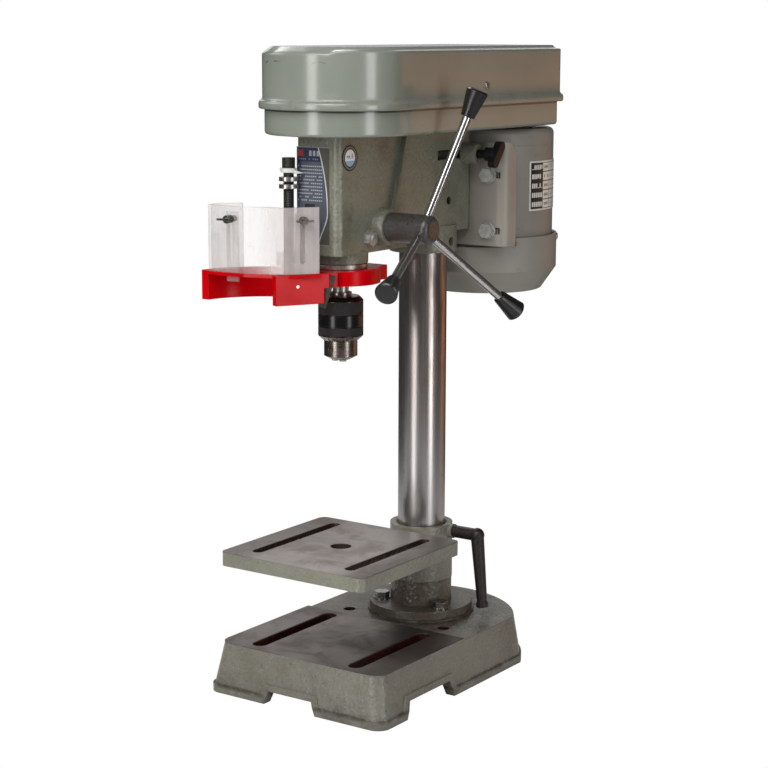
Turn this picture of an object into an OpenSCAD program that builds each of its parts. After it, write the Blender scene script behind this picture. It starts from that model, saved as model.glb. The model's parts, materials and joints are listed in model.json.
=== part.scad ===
// Benchtop drill press: base, column, tilting table, head with quill feed,
// belt drive under a hinged cover, vertical motor on slide rods and a chuck guard.
// Lengths are millimetres. The column stands on the origin, +Z is up, the bench is Z 0,
// the front of the machine faces -Y and the feed handles are on +X.

/* [Base] */
// half width of the base casting at its top
base_half = 91; // [70:0.5:130]
// how much wider the foot is than the top, on each side
base_flare = 6.5; // [0:0.5:15]
// from the column to the front edge of the base top
base_front = 202.5; // [150:0.5:300]
// how much larger the radius of the round back is than half the width
base_back_more = 10; // [0:0.5:40]
// centre of that round back, in front of the column
base_back_set = 18; // [0:0.5:60]
// radius of the front corners
base_corner_r = 13; // [4:0.5:30]
// height of the machined worktop above the bench
base_top = 47.2; // [30:0.1:80]
// how far the worktop stands above the deck behind it
work_step = 2; // [0.5:0.1:5]
// from the column to the back edge of the worktop
work_back = 64; // [60:0.5:100]
// height of the bead round the foot
foot_h = 7.5; // [3:0.5:15]
// how far the bead stands out
foot_out = 1.5; // [0.5:0.1:4]
// wall thickness of the casting
base_wall = 8; // [4:0.5:14]
// thickness of the worktop
base_deck = 9; // [5:0.5:16]
// distance of each worktop slot from the middle
base_slot_x = 54.5; // [30:0.5:75]
// width of the worktop slots
base_slot_w = 14.5; // [8:0.5:20]
// from the column to the front end of the slots
base_slot_front = 194; // [120:1:196]
// from the column to the back end of the slots
base_slot_back = 71; // [66:1:110]
// radius of the two bench bolt holes
bench_hole_r = 5.75; // [3:0.25:9]
// distance of each bench bolt hole from the middle
bench_hole_x = 55; // [50:0.1:75]
// forward from the column to the bench bolt holes
bench_hole_y = 44; // [20:0.5:60]
// radius of the casting round a bench bolt hole, underneath
bench_boss_r = 12; // [8:0.5:18]
// width of the notch in the front of the foot
notch_front_w = 53; // [30:1:100]
// height of the foot notches
notch_h = 12.5; // [5:0.5:20]
// middle of the front notch, from the centre line
notch_front_x = -3.5; // [-10:0.5:10]
// width of the notch in each side of the foot
notch_side_w = 72; // [30:1:100]
// forward from the column to the middle of the side notches
notch_side_y = 130.5; // [80:0.5:160]
// height of the notch in each side of the foot
notch_side_h = 16; // [5:0.5:20]
// width of the bead round the notches
notch_bead = 6; // [3:0.5:10]
// radius of the solid pad under the column
pad_r = 52; // [40:0.5:70]

/* [Column and flange] */
// radius of the column tube
column_r = 23; // [18:0.5:35]
// wall thickness of the column tube
column_wall = 3; // [2:0.5:6]
// how far the column stands up into the head
column_in_head = 69; // [40:1:90]
// radius of the column flange
flange_r = 50.5; // [40:0.5:70]
// thickness of the column flange
flange_t = 8; // [5:0.5:14]
// radius of the neck above the flange
neck_r = 30; // [26:0.5:40]
// height of the top of that neck
neck_top = 79; // [65:0.5:100]
// distance of the flange bolts from the column axis
flange_bolt_pcr = 38.5; // [34:0.5:50]
// radius of the flange bolt shanks
flange_bolt_r = 4; // [3:0.5:6]
// width across the flats of the flange bolt heads
flange_bolt_af = 13; // [8:0.5:18]
// height of the flange bolt heads
flange_bolt_head = 5.5; // [3:0.5:9]

/* [Table] */
// half width of the table
table_half = 80; // [50:1:130]
// from the column to the front edge of the table
table_front = 213.5; // [150:0.5:300]
// from the column to the back edge of the table
table_back = 54; // [40:0.5:80]
// height of the table top when the table is right down
table_top = 137.5; // [120:0.5:300]
// thickness of the table
table_t = 13; // [8:0.5:20]
// radius of the table corners
table_corner_r = 7; // [2:0.5:20]
// distance of each table slot from the middle
table_slot_x = 52; // [30:0.5:70]
// width of the table slots
table_slot_w = 11; // [6:0.5:16]
// from the column to the front end of the table slots
table_slot_front = 197; // [120:1:200]
// from the column to the back end of the table slots
table_slot_back = 68; // [60:1:100]
// radius of the hole in the middle of the table
table_hole_r = 9.75; // [4:0.25:15]
// height of the top of the table bracket's sleeve
sleeve_top = 133.5; // [115:0.5:200]
// outer radius of the sleeve
sleeve_r = 30.5; // [27:0.5:45]
// height of the tilt axis below the table top
tilt_drop = 32; // [25:0.5:45]
// radius of the round tilt faces
tilt_face_r = 17; // [12:0.5:22]
// radius of the tilt bolt
tilt_bolt_r = 6; // [4:0.5:8]
// travel of the table up the column
table_travel = 85; // [20:5:150]

/* [Table clamp] */
// height of the clamp screw
clamp_z = 127; // [100:0.5:200]
// distance of the clamp screw behind the column axis
clamp_y = 6; // [-10:0.5:12]
// radius of the clamp screw
clamp_r = 5; // [3:0.5:7]
// from the column axis to the elbow of the lever
clamp_elbow_x = 61; // [50:0.5:80]
// length of the hanging part of the lever
clamp_bar = 66; // [40:1:90]
// how far the free end of the lever leans outward
clamp_lean = 6.5; // [0:0.5:15]

/* [Head casting] */
// forward from the column to the spindle axis
spindle_y = 134.4; // [100:0.1:200]
// half width of the nose of the head
nose_half = 24; // [22.5:0.5:40]
// how far the nose reaches in front of the spindle axis
nose_reach = 35.3; // [28:0.1:50]
// radius of the nose's upright corners
nose_corner_r = 6.5; // [2:0.5:12]
// height of the underside of the head
head_bottom = 411; // [300:0.5:800]
// height of the head from its underside to its top
head_height = 105.5; // [70:0.1:160]
// half width of the rear body of the head
body_half = 29; // [26:0.5:45]
// from the column to the back face of the rear body
body_back = 35; // [30:0.5:60]
// how far the underside of the rear body stands above that of the nose
body_rise = 9; // [0:0.5:20]
// outer radius of the clamp sleeve round the column
head_sleeve_r = 32; // [28:0.5:45]
// how far that sleeve hangs below the nose's underside
sleeve_drop = 10.5; // [2:0.5:20]
// wall thickness of the hollow parts of the head
head_wall = 7; // [4:0.5:10]
// radius of the round collar under the nose
collar_r = 24.9; // [22:0.1:32]
// how far that collar hangs below the nose
collar_drop = 9; // [4:0.5:16]
// outer radius of the thin neck that carries the guard
quill_neck_r = 22.6; // [21.5:0.1:28]
// how far the thin neck reaches below the collar
neck_drop = 18; // [8:0.5:30]
// radius of the two head set screws
set_screw_r = 4; // [2:0.5:6]
// height of the upper head set screw above the nose's underside
set_high_rise = 38.2; // [20:0.1:60]
// height of the lower head set screw above the nose's underside
set_low_rise = 0; // [-4:0.1:6]

/* [Quill and spindle] */
// radius of the quill
quill_r = 20; // [16:0.5:28]
// from the upper end of the quill to the top of the head
quill_room = 16.5; // [12:0.5:40]
// travel of the quill
quill_travel = 50; // [20:1:80]
// radius of the spindle
spindle_r = 6; // [4:0.5:10]
// height of the upper end of the spindle above the cover's seam
spindle_rise = 38; // [20:0.5:42]
// radius of the spindle bearings
bearing_r = 13; // [10:0.5:15]
// height of the spindle bearings
bearing_h = 8; // [5:0.5:12]
// radial clearance of sliding and turning fits
fit_gap = 0.05; // [0.02:0.01:0.1]
// clearance between pieces that pass each other
pass_gap = 0.3; // [0.2:0.05:0.6]

/* [Chuck] */
// outer radius of the turning chuck sleeve
chuck_r = 20.5; // [15:0.25:30]
// radius of the bright lower part of the chuck body
chuck_nose_r = 15.2; // [10:0.1:22]
// radius of the front end of the chuck body
chuck_tip_r = 8.5; // [6:0.25:14]
// height of the chuck's nose cone
chuck_cone_h = 3.5; // [1:0.1:8]
// height of the bright band of the chuck body
chuck_band_h = 14.5; // [8:0.5:24]
// height of the toothed cone
tooth_h = 4; // [2:0.1:8]
// height of the sleeve above its toothed cone
sleeve_wall_h = 36; // [24:0.5:50]
// height of the chuck's top above its sleeve
chuck_cap = 3.5; // [1:0.1:8]
// from the thin neck down to the top of the chuck
chuck_gap = 9; // [4:0.5:16]
// number of key teeth round the sleeve
tooth_count = 24; // [12:1:40]
// radius of the arbor in the chuck
arbor_r = 7.25; // [5:0.25:10]
// lean of the jaws from the spindle axis, in degrees
jaw_lean = 14; // [10:0.5:18]
// radius of each round jaw
jaw_r = 3.2; // [2:0.1:4]
// radius of the drill shank that the jaws hold at rest
grip_r = 3; // [1:0.1:5]
// smallest shank radius that the jaws close on
grip_min_r = 1.5; // [0.5:0.1:3]
// length of the jaws
jaw_len = 26.5; // [20:0.5:40]
// how far the jaws stand below the chuck at rest
jaw_out = 1.5; // [0:0.1:4]

/* [Feed] */
// forward from the column to the feed axis
feed_y = 102.5; // [80:0.1:160]
// height of the feed axis above the nose's underside
feed_rise = 21.5; // [16:0.1:40]
// module of the rack and pinion
feed_module = 1.5; // [1:0.1:2]
// number of teeth on the feed pinion
pinion_teeth = 18; // [14:1:24]
// face width of the pinion
pinion_w = 14; // [8:0.5:24]
// radius of the feed shaft
feed_r = 8; // [5:0.5:12]
// radius of the casting boss at the hub
boss_r = 18; // [14:0.5:24]
// from the centre line to the face of that boss
boss_x = 33.7; // [30:0.1:45]
// radius of the feed hub
hub_r = 13.4; // [10:0.1:20]
// from the centre line to the rounded end of the hub
hub_end_x = 79; // [60:0.5:100]
// where the arms meet the feed axis, from the centre line
arm_x = 67.4; // [50:0.1:90]
// lean of the arms outward from square, in degrees
arm_lean = 18.4; // [0:0.1:35]
// turn of the first arm at rest, in degrees from the back toward the top
arm_angle = 79.4; // [0:0.1:120]
// radius of the arms
arm_r = 4; // [3:0.25:7]
// from the feed axis to the inner end of the knobs
knob_in = 107.4; // [60:0.5:200]
// from the feed axis to the outer end of the knobs
knob_out = 132.5; // [80:0.5:230]
// radius of the inner end of the knobs
knob_r1 = 6.2; // [5:0.1:12]
// radius of the outer end of the knobs
knob_r2 = 10; // [6:0.1:16]
// outer radius of the return spring's cap
spring_cap_r = 23; // [15:0.5:30]
// length of the return spring's cap
spring_cap_w = 15; // [8:0.5:25]

/* [Belt cover] */
// half width of the lower tray
tray_half = 67.5; // [50:0.5:90]
// half width of the seam rim
rim_half = 72.8; // [55:0.1:95]
// half width of the lid above the rim
lid_half = 69.4; // [52:0.1:92]
// from the column to the back of the tray
cover_back = 141; // [100:1:200]
// height of the seam between tray and lid above the head
seam_rise = 22.5; // [16:0.1:40]
// height of the lid's flat top above the seam
lid_rise = 54.4; // [45:0.1:90]
// height of the lid screw above the seam
lid_screw_rise = 18.4; // [10:0.1:40]
// width of the sloping band round the lid's top
lid_flank = 8; // [4:0.5:8.5]
// slope of that band, from upright
lid_lean = 53; // [30:1:80]
// sheet thickness of the cover
sheet_t = 1.8; // [1:0.1:3]
// radius of the back corners of the cover
cover_corner_r = 9; // [4:0.5:30]
// radius of the lid's top edge
lid_edge_r = 3; // [2:0.5:5]

/* [Belt drive] */
// number of steps on each pulley
step_count = 5; // [3:1:5]
// pitch radius of the largest step of the spindle pulley
spindle_pulley_big = 44; // [30:0.5:50]
// pitch radius of the smallest step of the motor pulley
motor_pulley_small = 12; // [10:0.5:20]
// change of radius from one step to the next
step_dr = 3; // [2:0.5:5]
// height of each step
step_h = 10.5; // [9:0.5:14]
// belt depth across the groove
belt_depth = 6; // [4:0.5:8]
// belt width at its outer face
belt_w = 8; // [6:0.5:10]
// half angle of the belt's flanks, in degrees
belt_flank = 19; // [15:0.5:22]
// step that the belt runs on, counted from the bottom
belt_step = 2; // [0:1:4]
// travel of the motor away from the column
motor_out = 3; // [1:0.1:6]
// travel of the motor toward the column
motor_in = 1.8; // [0.5:0.1:3]

/* [Motor] */
// back from the column to the motor axis
motor_y = 110; // [90:0.5:160]
// radius of the motor can
can_r = 68; // [50:0.5:80]
// radius of the fan cover
bell_r = 72.5; // [55:0.5:85]
// height of the fan cover's narrowing foot
bell_foot_h = 22; // [8:0.5:40]
// height of the fan cover's upright wall
bell_wall_h = 33.5; // [10:0.5:60]
// how far the fan cover reaches up over the can
bell_over = 11.5; // [4:0.5:30]
// height of the motor can above its lower end plate
can_rise = 100; // [60:0.5:200]
// thickness of that end plate
end_plate_t = 8; // [4:0.5:14]
// free room in the can above and below the windings
stator_room = 24; // [10:0.5:40]
// radius of the fan cover's underside
bell_low_r = 59.5; // [40:0.5:75]
// height of the motor's end cap
cap_h = 16; // [8:0.5:30]
// from the belt cover down to the joint under that cap
cap_drop = 18.5; // [16.5:0.5:40]
// height of the capacitor box
capacitor_h = 54; // [30:1:80]
// from that box down to the fan cover's rim
capacitor_gap = 28.5; // [2:0.5:40]
// half width of the capacitor box
capacitor_half = 24; // [12:0.5:40]
// how far the box stands out behind the can
capacitor_out = 11; // [5:0.5:20]
// wall thickness of the motor can
can_wall = 3; // [2:0.5:6]
// radius of the motor shaft
shaft_r = 6; // [4:0.5:10]
// outer radius of the rotor
rotor_r = 34; // [20:0.5:45]

/* [Motor cradle] */
// from the column to the front of the cradle web
web_y = 37.5; // [36:0.5:60]
// thickness of the cradle sheet
web_t = 3; // [2:0.5:5]
// half width of the cradle
cradle_half = 68; // [55:0.5:85]
// how far the cradle's flanges reach back
flange_reach = 58; // [50:0.5:75]
// from the can's lower end up to the cradle
cradle_rise = 6; // [2:0.5:20]
// how far the cradle stands above the joint of the motor's cap
cradle_over = 5; // [1:0.5:10]
// bend radius of the cradle, outside
cradle_bend = 10; // [4:0.5:15]
// distance of the cradle bolts from the middle
cradle_bolt_x = 50; // [35:0.5:60]
// from the cradle's lower edge up to the upper bolts
bolt_high_rise = 68; // [50:0.5:75]
// from the cradle's lower edge up to the lower bolts
bolt_low_rise = 15; // [10:0.5:30]
// radius of the cradle bolts
cradle_bolt_r = 4; // [3:0.5:5]
// radius of the slide rods
rod_r = 6; // [4:0.5:9]
// distance of the slide rods from the middle
rod_x = 14; // [10:0.5:20]
// from the cradle's upper edge down to the slide rods
rod_drop = 10.5; // [8:0.5:20]
// distance behind the column axis of the slide lock knob
lock_y = 24; // [22:0.5:28]
// from the centre line to the middle of the lock knob
lock_x = 66; // [55:0.1:70]

/* [Depth stop] */
// distance of the stop rod to the left of the spindle
stop_x = 24; // [18:0.5:40]
// distance of the stop rod in front of the spindle
stop_y = 45; // [40:0.5:55]
// radius of the stop rod
stop_r = 4.6; // [3:0.1:6]
// from the top of the head down to the top of the stop rod
stop_drop = 19.5; // [10:0.5:40]
// from the top of the rod down to the lower nut
stop_nut_drop = 27; // [20:0.5:60]

/* [Guard] */
// how far the guard frame hangs below the thin neck
frame_under = 13.5; // [8:0.5:24]
// how far the guard frame stands above the foot of the thin neck
frame_over = 13; // [8:0.5:16]
// thickness of the guard frame's walls
frame_t = 7.5; // [4:0.5:10]
// inner radius of the curved back wall
arc_r = 66; // [50:0.5:90]
// outer radius of the guard's ring round the neck
ring_r = 36; // [28:0.5:45]
// height of the clear shield
shield_h = 58.5; // [30:0.5:90]
// thickness of the clear shield
shield_t = 2; // [1:0.1:4]
// travel of the shield up its screws
shield_travel = 36; // [10:1:50]
// radius of the shield's screws
wing_r = 1.7; // [1:0.1:3]
// height of the shield's screws above the guard frame
wing_rise = 47.5; // [30:0.5:52]

/* [Switch box] */
// height of the switch box above the nose's underside
box_rise = 37; // [10:1:60]
// height of the switch box
box_h = 56; // [40:1:64]
// width of the switch box along the head
box_w = 62; // [40:1:70]
// how far the box stands out from the head
box_d = 26; // [15:1:40]
// forward from the column to the middle of the box
box_y = 48; // [40:1:60]
// radius of the push buttons
button_r = 8; // [5:0.5:12]
// travel of the push buttons
button_travel = 3; // [1:0.5:5]

/* [Hidden] */
$fn = 48;

// colours
cast_c = [0.42, 0.45, 0.38];
cover_c = [0.45, 0.49, 0.44];
steel_c = [0.62, 0.6, 0.58];
chrome_c = [0.82, 0.82, 0.82];
black_c = [0.1, 0.1, 0.1];
motor_c = [0.4, 0.38, 0.36];
red_c = [0.8, 0.05, 0.05];
clear_c = [0.85, 0.85, 0.85, 0.35];

// small sizes that many pieces share
eps = 0.01;
hair = 0.1;
thin = 1.2;
lip = 2;
rib = 6;
corner_steps = 8;
back_steps = 40;

// heights and faces that follow from the sizes above
base_back_r = base_half + base_back_more;
column_top = head_bottom + column_in_head;
head_top = head_bottom + head_height;
head_sleeve_bottom = head_bottom - sleeve_drop;
collar_bottom = head_bottom - collar_drop;
quill_neck_bottom = collar_bottom - neck_drop;
set_screw_high = head_bottom + set_high_rise;
set_screw_low = head_bottom + set_low_rise;
quill_high = head_top - quill_room;
seam_z = head_top + seam_rise;
spindle_high = seam_z + spindle_rise;
chuck_top_z = quill_neck_bottom - chuck_gap;
chuck_sleeve_z = chuck_top_z - chuck_cap;
tooth_high_z = chuck_sleeve_z - sleeve_wall_h;
tooth_low_z = tooth_high_z - tooth_h;
chuck_cone_z = tooth_low_z - chuck_band_h;
chuck_tip_z = chuck_cone_z - chuck_cone_h;
feed_z = head_bottom + feed_rise;
cap_seam = head_top - cap_drop;
tray_bottom = head_top;
body_bottom = head_bottom + body_rise;
lid_top = seam_z + lid_rise;
can_low = cap_seam - can_rise;
motor_top = cap_seam + cap_h;
bell_rim = can_low + bell_over;
bell_shoulder = bell_rim - bell_wall_h;
bell_low = bell_shoulder - bell_foot_h;
cradle_low = can_low + cradle_rise;
cradle_high = cap_seam + cradle_over;
cradle_bolt_low = cradle_low + bolt_low_rise;
cradle_bolt_high = cradle_low + bolt_high_rise;
rod_z = cradle_high - rod_drop;
stop_high = head_top - stop_drop;
stop_nut_z = stop_high - stop_nut_drop;
frame_low = quill_neck_bottom - frame_under;
frame_high = quill_neck_bottom + frame_over;
wing_z = frame_high + wing_rise;
box_low = head_bottom + box_rise;
nose_front = spindle_y + nose_reach;
deck_z = base_top - work_step;
tilt_z = table_top - tilt_drop;
bolt_angles = [-27, 93, 213];
pinion_r = feed_module * pinion_teeth / 2;
rack_gap = spindle_y - feed_y;
rack_pitch = PI * feed_module;
rack_line = rack_gap - pinion_r;
stop_arm_z = frame_high + 0.4;
jaw_close = (grip_r - grip_min_r) / sin(jaw_lean);
spindle_axis = [0, -spindle_y, 0];
feed_axis = [0, -feed_y, feed_z];
motor_axis = [0, motor_y, 0];

function arc_pts(cx, cy, r, a0, a1, n) =
  [for (i = [0:n]) let (a = a0 + (a1 - a0) * i / n) [cx + r * cos(a), cy + r * sin(a)]];

// lift things
module up(z) {
  translate([0, 0, z]) children();
}

// turn things about the upright axis
module turn(a) {
  rotate([0, 0, a]) children();
}

// a block between two corners
module block(a, b) {
  translate(a) cube(b - a);
}

// a rod along X from one place to another
module rod_x_to(x0, x1, r) {
  translate([x0, 0, 0]) rotate([0, 90, 0]) cylinder(r = r, h = x1 - x0);
}

// a rod along Y from one place to another
module rod_y_to(y0, y1, r) {
  translate([0, y1, 0]) rotate([90, 0, 0]) cylinder(r = r, h = y1 - y0);
}

// a ring standing on a height
module ring_at(z0, z1, ro, ri) {
  up(z0) difference() {
    cylinder(r = ro, h = z1 - z0);
    up(-lip) cylinder(r = ri, h = z1 - z0 + 2 * lip);
  }
}

// a hexagonal prism across its flats
module hex(af, h) {
  cylinder(r = af / sqrt(3), h = h, $fn = 6);
}

// a flat shape with round corners between two corners
module round_rect(a, b, r) {
  translate([a[0] + r, a[1]]) square([b[0] - a[0] - 2 * r, b[1] - a[1]]);
  translate([a[0], a[1] + r]) square([b[0] - a[0], b[1] - a[1] - 2 * r]);
  for (x = [a[0] + r, b[0] - r], y = [a[1] + r, b[1] - r]) translate([x, y]) circle(r = r);
}

function base_outline(grow) =
  let (w = base_half + grow, f = base_front + grow, rb = base_back_r + grow)
  let (a = acos(w / rb), rc = base_corner_r)
  concat(arc_pts(w - rc, rc - f, rc, -90, 0, corner_steps),
    arc_pts(0, -base_back_set, rb, a, 180 - a, back_steps),
    arc_pts(rc - w, rc - f, rc, 180, 270, corner_steps));

module base_slab(grow, z, h) {
  up(z) linear_extrude(h) polygon(base_outline(grow));
}

// trapezoid notch through the foot, a little wider at the bench
module foot_notch(w, h, depth) {
  lean = h * notch_lean_share;
  rotate([90, 0, 0]) linear_extrude(depth, center = true)
    polygon([[-w / 2 - lean, -lip], [w / 2 + lean, -lip], [w / 2 + lean, 0],
      [w / 2 - lean, h], [lean - w / 2, h], [-w / 2 - lean, 0]]);
}
notch_lean_share = 0.18;

// the three notches, each made wider and higher by grow
module foot_notches(grow, depth) {
  translate([notch_front_x, -base_front, 0])
    foot_notch(notch_front_w + grow * 2, notch_h + grow, depth);
  for (x = [-base_half, base_half]) translate([x, -notch_side_y, 0]) turn(90)
    foot_notch(notch_side_w + grow * 2, notch_side_h + grow, depth);
}

// outline of a slot along Y with round ends
function slot_pts(x, front, back, w) =
  concat(arc_pts(x, w / 2 - front, w / 2, 180, 360, corner_steps),
    arc_pts(x, -back - w / 2, w / 2, 0, 180, corner_steps));

module base() {
  flare_in = base_flare - base_wall;
  color(cast_c) difference() {
    union() {
      difference() {
        union() {
          hull() {
            base_slab(base_flare, foot_h, eps);
            base_slab(0, deck_z - eps, eps);
          }
          base_slab(base_flare + foot_out, 0, foot_h);
          intersection() {
            hull() {
              base_slab(base_flare + foot_out, foot_h - eps, eps);
              base_slab(foot_out, deck_z - eps, eps);
            }
            foot_notches(notch_bead, base_wall * 5);
          }
          intersection() {
            base_slab(0, deck_z - eps, work_step + eps);
            block([-bell_r * 2, -base_front * 2, 0], [bell_r * 2, -work_back, base_top]);
          }
        }
        hull() {
          base_slab(flare_in, -eps, eps);
          base_slab(-base_wall, deck_z - base_deck, eps);
        }
      }
      cylinder(r = pad_r, h = base_top);
      for (x = [-bench_hole_x, bench_hole_x])
        translate([x, -bench_hole_y, 0]) cylinder(r = bench_boss_r, h = deck_z);
      block([-rib / 2, lip - base_front, foot_h], [rib / 2, -pad_r + lip, deck_z - eps]);
      block([pad_r - lip, -rib / 2, foot_h], [base_half - lip, rib / 2, deck_z - eps]);
      block([lip - base_half, -rib / 2, foot_h], [lip - pad_r, rib / 2, deck_z - eps]);
    }
    for (x = [-base_slot_x, base_slot_x])
      up(deck_z - base_deck - lip) linear_extrude(base_deck + 2 * lip + work_step)
        polygon(slot_pts(x, base_slot_front, base_slot_back, base_slot_w));
    for (x = [-bench_hole_x, bench_hole_x])
      translate([x, -bench_hole_y, -lip]) cylinder(r = bench_hole_r, h = base_top + 2 * lip);
    foot_notches(0, base_wall * 5);
    for (a = bolt_angles) turn(a)
      translate([flange_bolt_pcr, 0, base_top - bolt_deep])
        cylinder(r = flange_bolt_r, h = bolt_deep + lip);
  }
}
bolt_deep = 14;

module column_flange() {
  rise = base_top + flange_t;
  color(cast_c) difference() {
    union() {
      ring_at(base_top, rise, flange_r, column_r);
      ring_at(base_top, neck_top, neck_r, column_r);
    }
    for (a = bolt_angles) turn(a) translate([flange_bolt_pcr, 0, base_top - lip])
      cylinder(r = flange_bolt_r, h = flange_t + 2 * lip);
  }
}

module flange_bolts() {
  for (a = bolt_angles) turn(a) translate([flange_bolt_pcr, 0, 0]) color(steel_c) {
    up(base_top - bolt_deep + lip)
      cylinder(r = flange_bolt_r, h = bolt_deep + flange_t);
    up(base_top + flange_t) {
      cylinder(r = flange_bolt_af * washer_share, h = thin);
      hex(flange_bolt_af, flange_bolt_head + thin);
    }
  }
}
washer_share = 0.64;

module column() {
  color(steel_c) ring_at(base_top, column_top, column_r, column_r - column_wall);
}

module table_bracket() {
  bore = column_r + hair;
  arm_half = 13;
  arm_front = 42;
  color(cast_c) difference() {
    union() {
      up(neck_top + pass_gap)
        cylinder(r = sleeve_r, h = sleeve_top - neck_top - pass_gap);
      block([-arm_half, -arm_front, tilt_z - arm_half], [arm_half, 0, tilt_z + arm_half]);
      up(tilt_z) rod_y_to(tilt_joint_y, lip - arm_front, tilt_face_r);
      translate([0, clamp_y, clamp_z]) rod_x_to(column_r, sleeve_r + lip * 2, clamp_r + lip);
    }
    up(neck_top) cylinder(r = bore, h = sleeve_top);
    up(sleeve_top - lip) cylinder(r1 = bore, r2 = bore + lip * 2, h = lip * 2);
    translate([0, clamp_y, clamp_z]) rod_x_to(column_r - lip, sleeve_r * 2, clamp_r + fit_gap);
    up(tilt_z) rod_y_to(tilt_joint_y - lip, -sleeve_r - lip, tilt_bolt_r);
  }
}
tilt_joint_y = -62;
tilt_lug_y = -82;

module table_clamp_lever() {
  elbow_r = 7;
  bar_r1 = 6.5;
  bar_r2 = 5;
  lean = atan(clamp_lean / clamp_bar);
  color(black_c) translate([0, clamp_y, clamp_z]) {
    rod_x_to(column_r + lip, clamp_elbow_x, clamp_r);
    rod_x_to(sleeve_r + lip * 2 + pass_gap, clamp_elbow_x, clamp_r + lip / 2);
    translate([clamp_elbow_x, 0, 0]) {
      sphere(r = elbow_r);
      rotate([0, 180 - lean, 0]) cylinder(r1 = bar_r1, r2 = bar_r2, h = clamp_bar);
      rotate([0, 180 - lean, 0]) up(clamp_bar)
        cylinder(r = bar_r2 + lip / 2, h = bar_r2);
    }
  }
}

module table() {
  wall = 8;
  plate = 7;
  color(steel_c) difference() {
    union() {
      difference() {
        up(table_top - table_t) linear_extrude(table_t)
          round_rect([-table_half, -table_front], [table_half, -table_back], table_corner_r);
        for (s = [-1, 1]) {
          block([min(s * (table_slot_x - wall), s * wall * lug_share), wall - table_front,
              table_top - table_t - lip],
            [max(s * (table_slot_x - wall), s * wall * lug_share), -table_back - wall,
              table_top - plate]);
        }
      }
      up(tilt_z) rod_y_to(tilt_lug_y, tilt_joint_y - pass_gap, tilt_face_r);
      block([-tilt_face_r, tilt_lug_y, tilt_z],
        [tilt_face_r, tilt_joint_y - pass_gap, table_top - plate]);
      translate([0, table_hole_y, table_top - table_t])
        cylinder(r = table_hole_r + rib, h = table_t);
    }
    for (x = [-table_slot_x, table_slot_x])
      up(table_top - table_t - lip) linear_extrude(table_t + 2 * lip)
        polygon(slot_pts(x, table_slot_front, table_slot_back, table_slot_w));
    translate([0, table_hole_y, table_top - table_t - lip])
      cylinder(r = table_hole_r, h = table_t + 2 * lip);
    up(tilt_z) rod_y_to(tilt_lug_y - lip, 0, tilt_bolt_r + fit_gap);
  }
}
lug_share = 0.4;
table_hole_y = -spindle_y;

module tilt_bolt() {
  nut_h = 8;
  nut_af = 17;
  bolt_bite = 26;
  color(steel_c) up(tilt_z) {
    rod_y_to(tilt_lug_y - nut_h - lip * 2, tilt_joint_y + bolt_bite, tilt_bolt_r);
    translate([0, tilt_lug_y - thin - pass_gap, 0]) {
      rod_y_to(0, thin, nut_af * washer_share);
      rotate([90, 0, 0]) hex(nut_af, nut_h);
    }
  }
}

// side outline of the rear body, lengths from the column axis and up
front_top = 71;
belly_back = 8;
front_lean = [[0, 4], [-98.4, 3.5], [-93.7, 21], [-89.8, 35.4]];
rear_body_outline = concat([[-front_top, head_top], [body_back, head_top], [body_back, body_bottom],
  [belly_back, body_bottom]], [for (p = front_lean) [p[0], head_bottom + p[1]]]);
nose_back = 60;
well_front = 80;

module nose_outline() {
  round_rect([-nose_half, -nose_front], [nose_half, -nose_back], nose_corner_r);
}

module head_casting() {
  well_rise = 14;
  pinion_room = 2;
  rod_slot_front = 20;
  color(cast_c) difference() {
    union() {
      up(head_bottom) linear_extrude(head_top - head_bottom) nose_outline();
      rotate([90, 0, 90]) linear_extrude(body_half * 2, center = true) polygon(rear_body_outline);
      ring_at(head_sleeve_bottom, body_bottom + rib, head_sleeve_r, column_r - lip);
      translate(feed_axis) rotate([0, 90, 0]) up(nose_half - lip)
        cylinder(r1 = boss_r, r2 = boss_r - lip, h = boss_x - nose_half + lip);
      translate(feed_axis) rod_x_to(-spring_face_x, 0, boss_r);
      translate(spindle_axis) {
        up(collar_bottom)
          cylinder(r = collar_r, h = head_bottom - collar_bottom + lip);
        up(collar_bottom) linear_extrude(head_bottom - collar_bottom + lip)
          round_rect([-stop_x - lug_half, -stop_y - lug_half],
            [lug_half - stop_x, -collar_r * lug_share], lip);
      }
      translate([0, lock_y, rod_z]) rod_x_to(0, lock_boss_x, lock_boss_r);
    }
    up(head_sleeve_bottom - lip)
      cylinder(r = column_r, h = column_top - head_sleeve_bottom + lip);
    translate(spindle_axis) {
      up(collar_bottom - lip)
        cylinder(r = quill_r + fit_gap, h = head_top - top_seat_deep - collar_bottom + lip);
      up(head_top - top_seat_deep) cylinder(r = top_seat_r, h = top_seat_deep + lip);
      translate([-stop_x, -stop_y, collar_bottom - lip]) cylinder(r = stop_r + pass_gap, h = rib * 3);
    }
    block([-body_half + head_wall, -well_front, head_bottom + well_rise],
      [body_half - head_wall, -column_r - head_wall - lip, head_top + lip]);
    translate(feed_axis) {
      rod_x_to(0, boss_x + lip, feed_r + fit_gap);
      rod_x_to(-spring_face_x - lip, pinion_w / 2 + pass_gap, pinion_r + pinion_room);
    }
    for (x = [-rod_x, rod_x]) translate([x, 0, rod_z])
      rod_y_to(-column_r, body_back + lip, rod_r + fit_gap);
    block([rod_x, -rod_slot_front, rod_z - slot_half],
      [body_half + lip, body_back - lip / 2, rod_z + slot_half]);
    translate([0, lock_y, rod_z]) rod_x_to(rod_x, lock_boss_x + lip, lock_r + fit_gap);
    up(set_screw_high) rod_x_to(column_r - lip, body_half * 2, set_screw_r);
    up(set_screw_low) rod_x_to(column_r - lip, body_half * 2, set_screw_r);
    translate([0, -quill_lock_y, quill_lock_z])
      rod_x_to(nose_half - rib - lip, nose_half + lip, quill_lock_r);
  }
}
spring_face_x = 31;
top_seat_r = 21;
top_seat_deep = 11;
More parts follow.
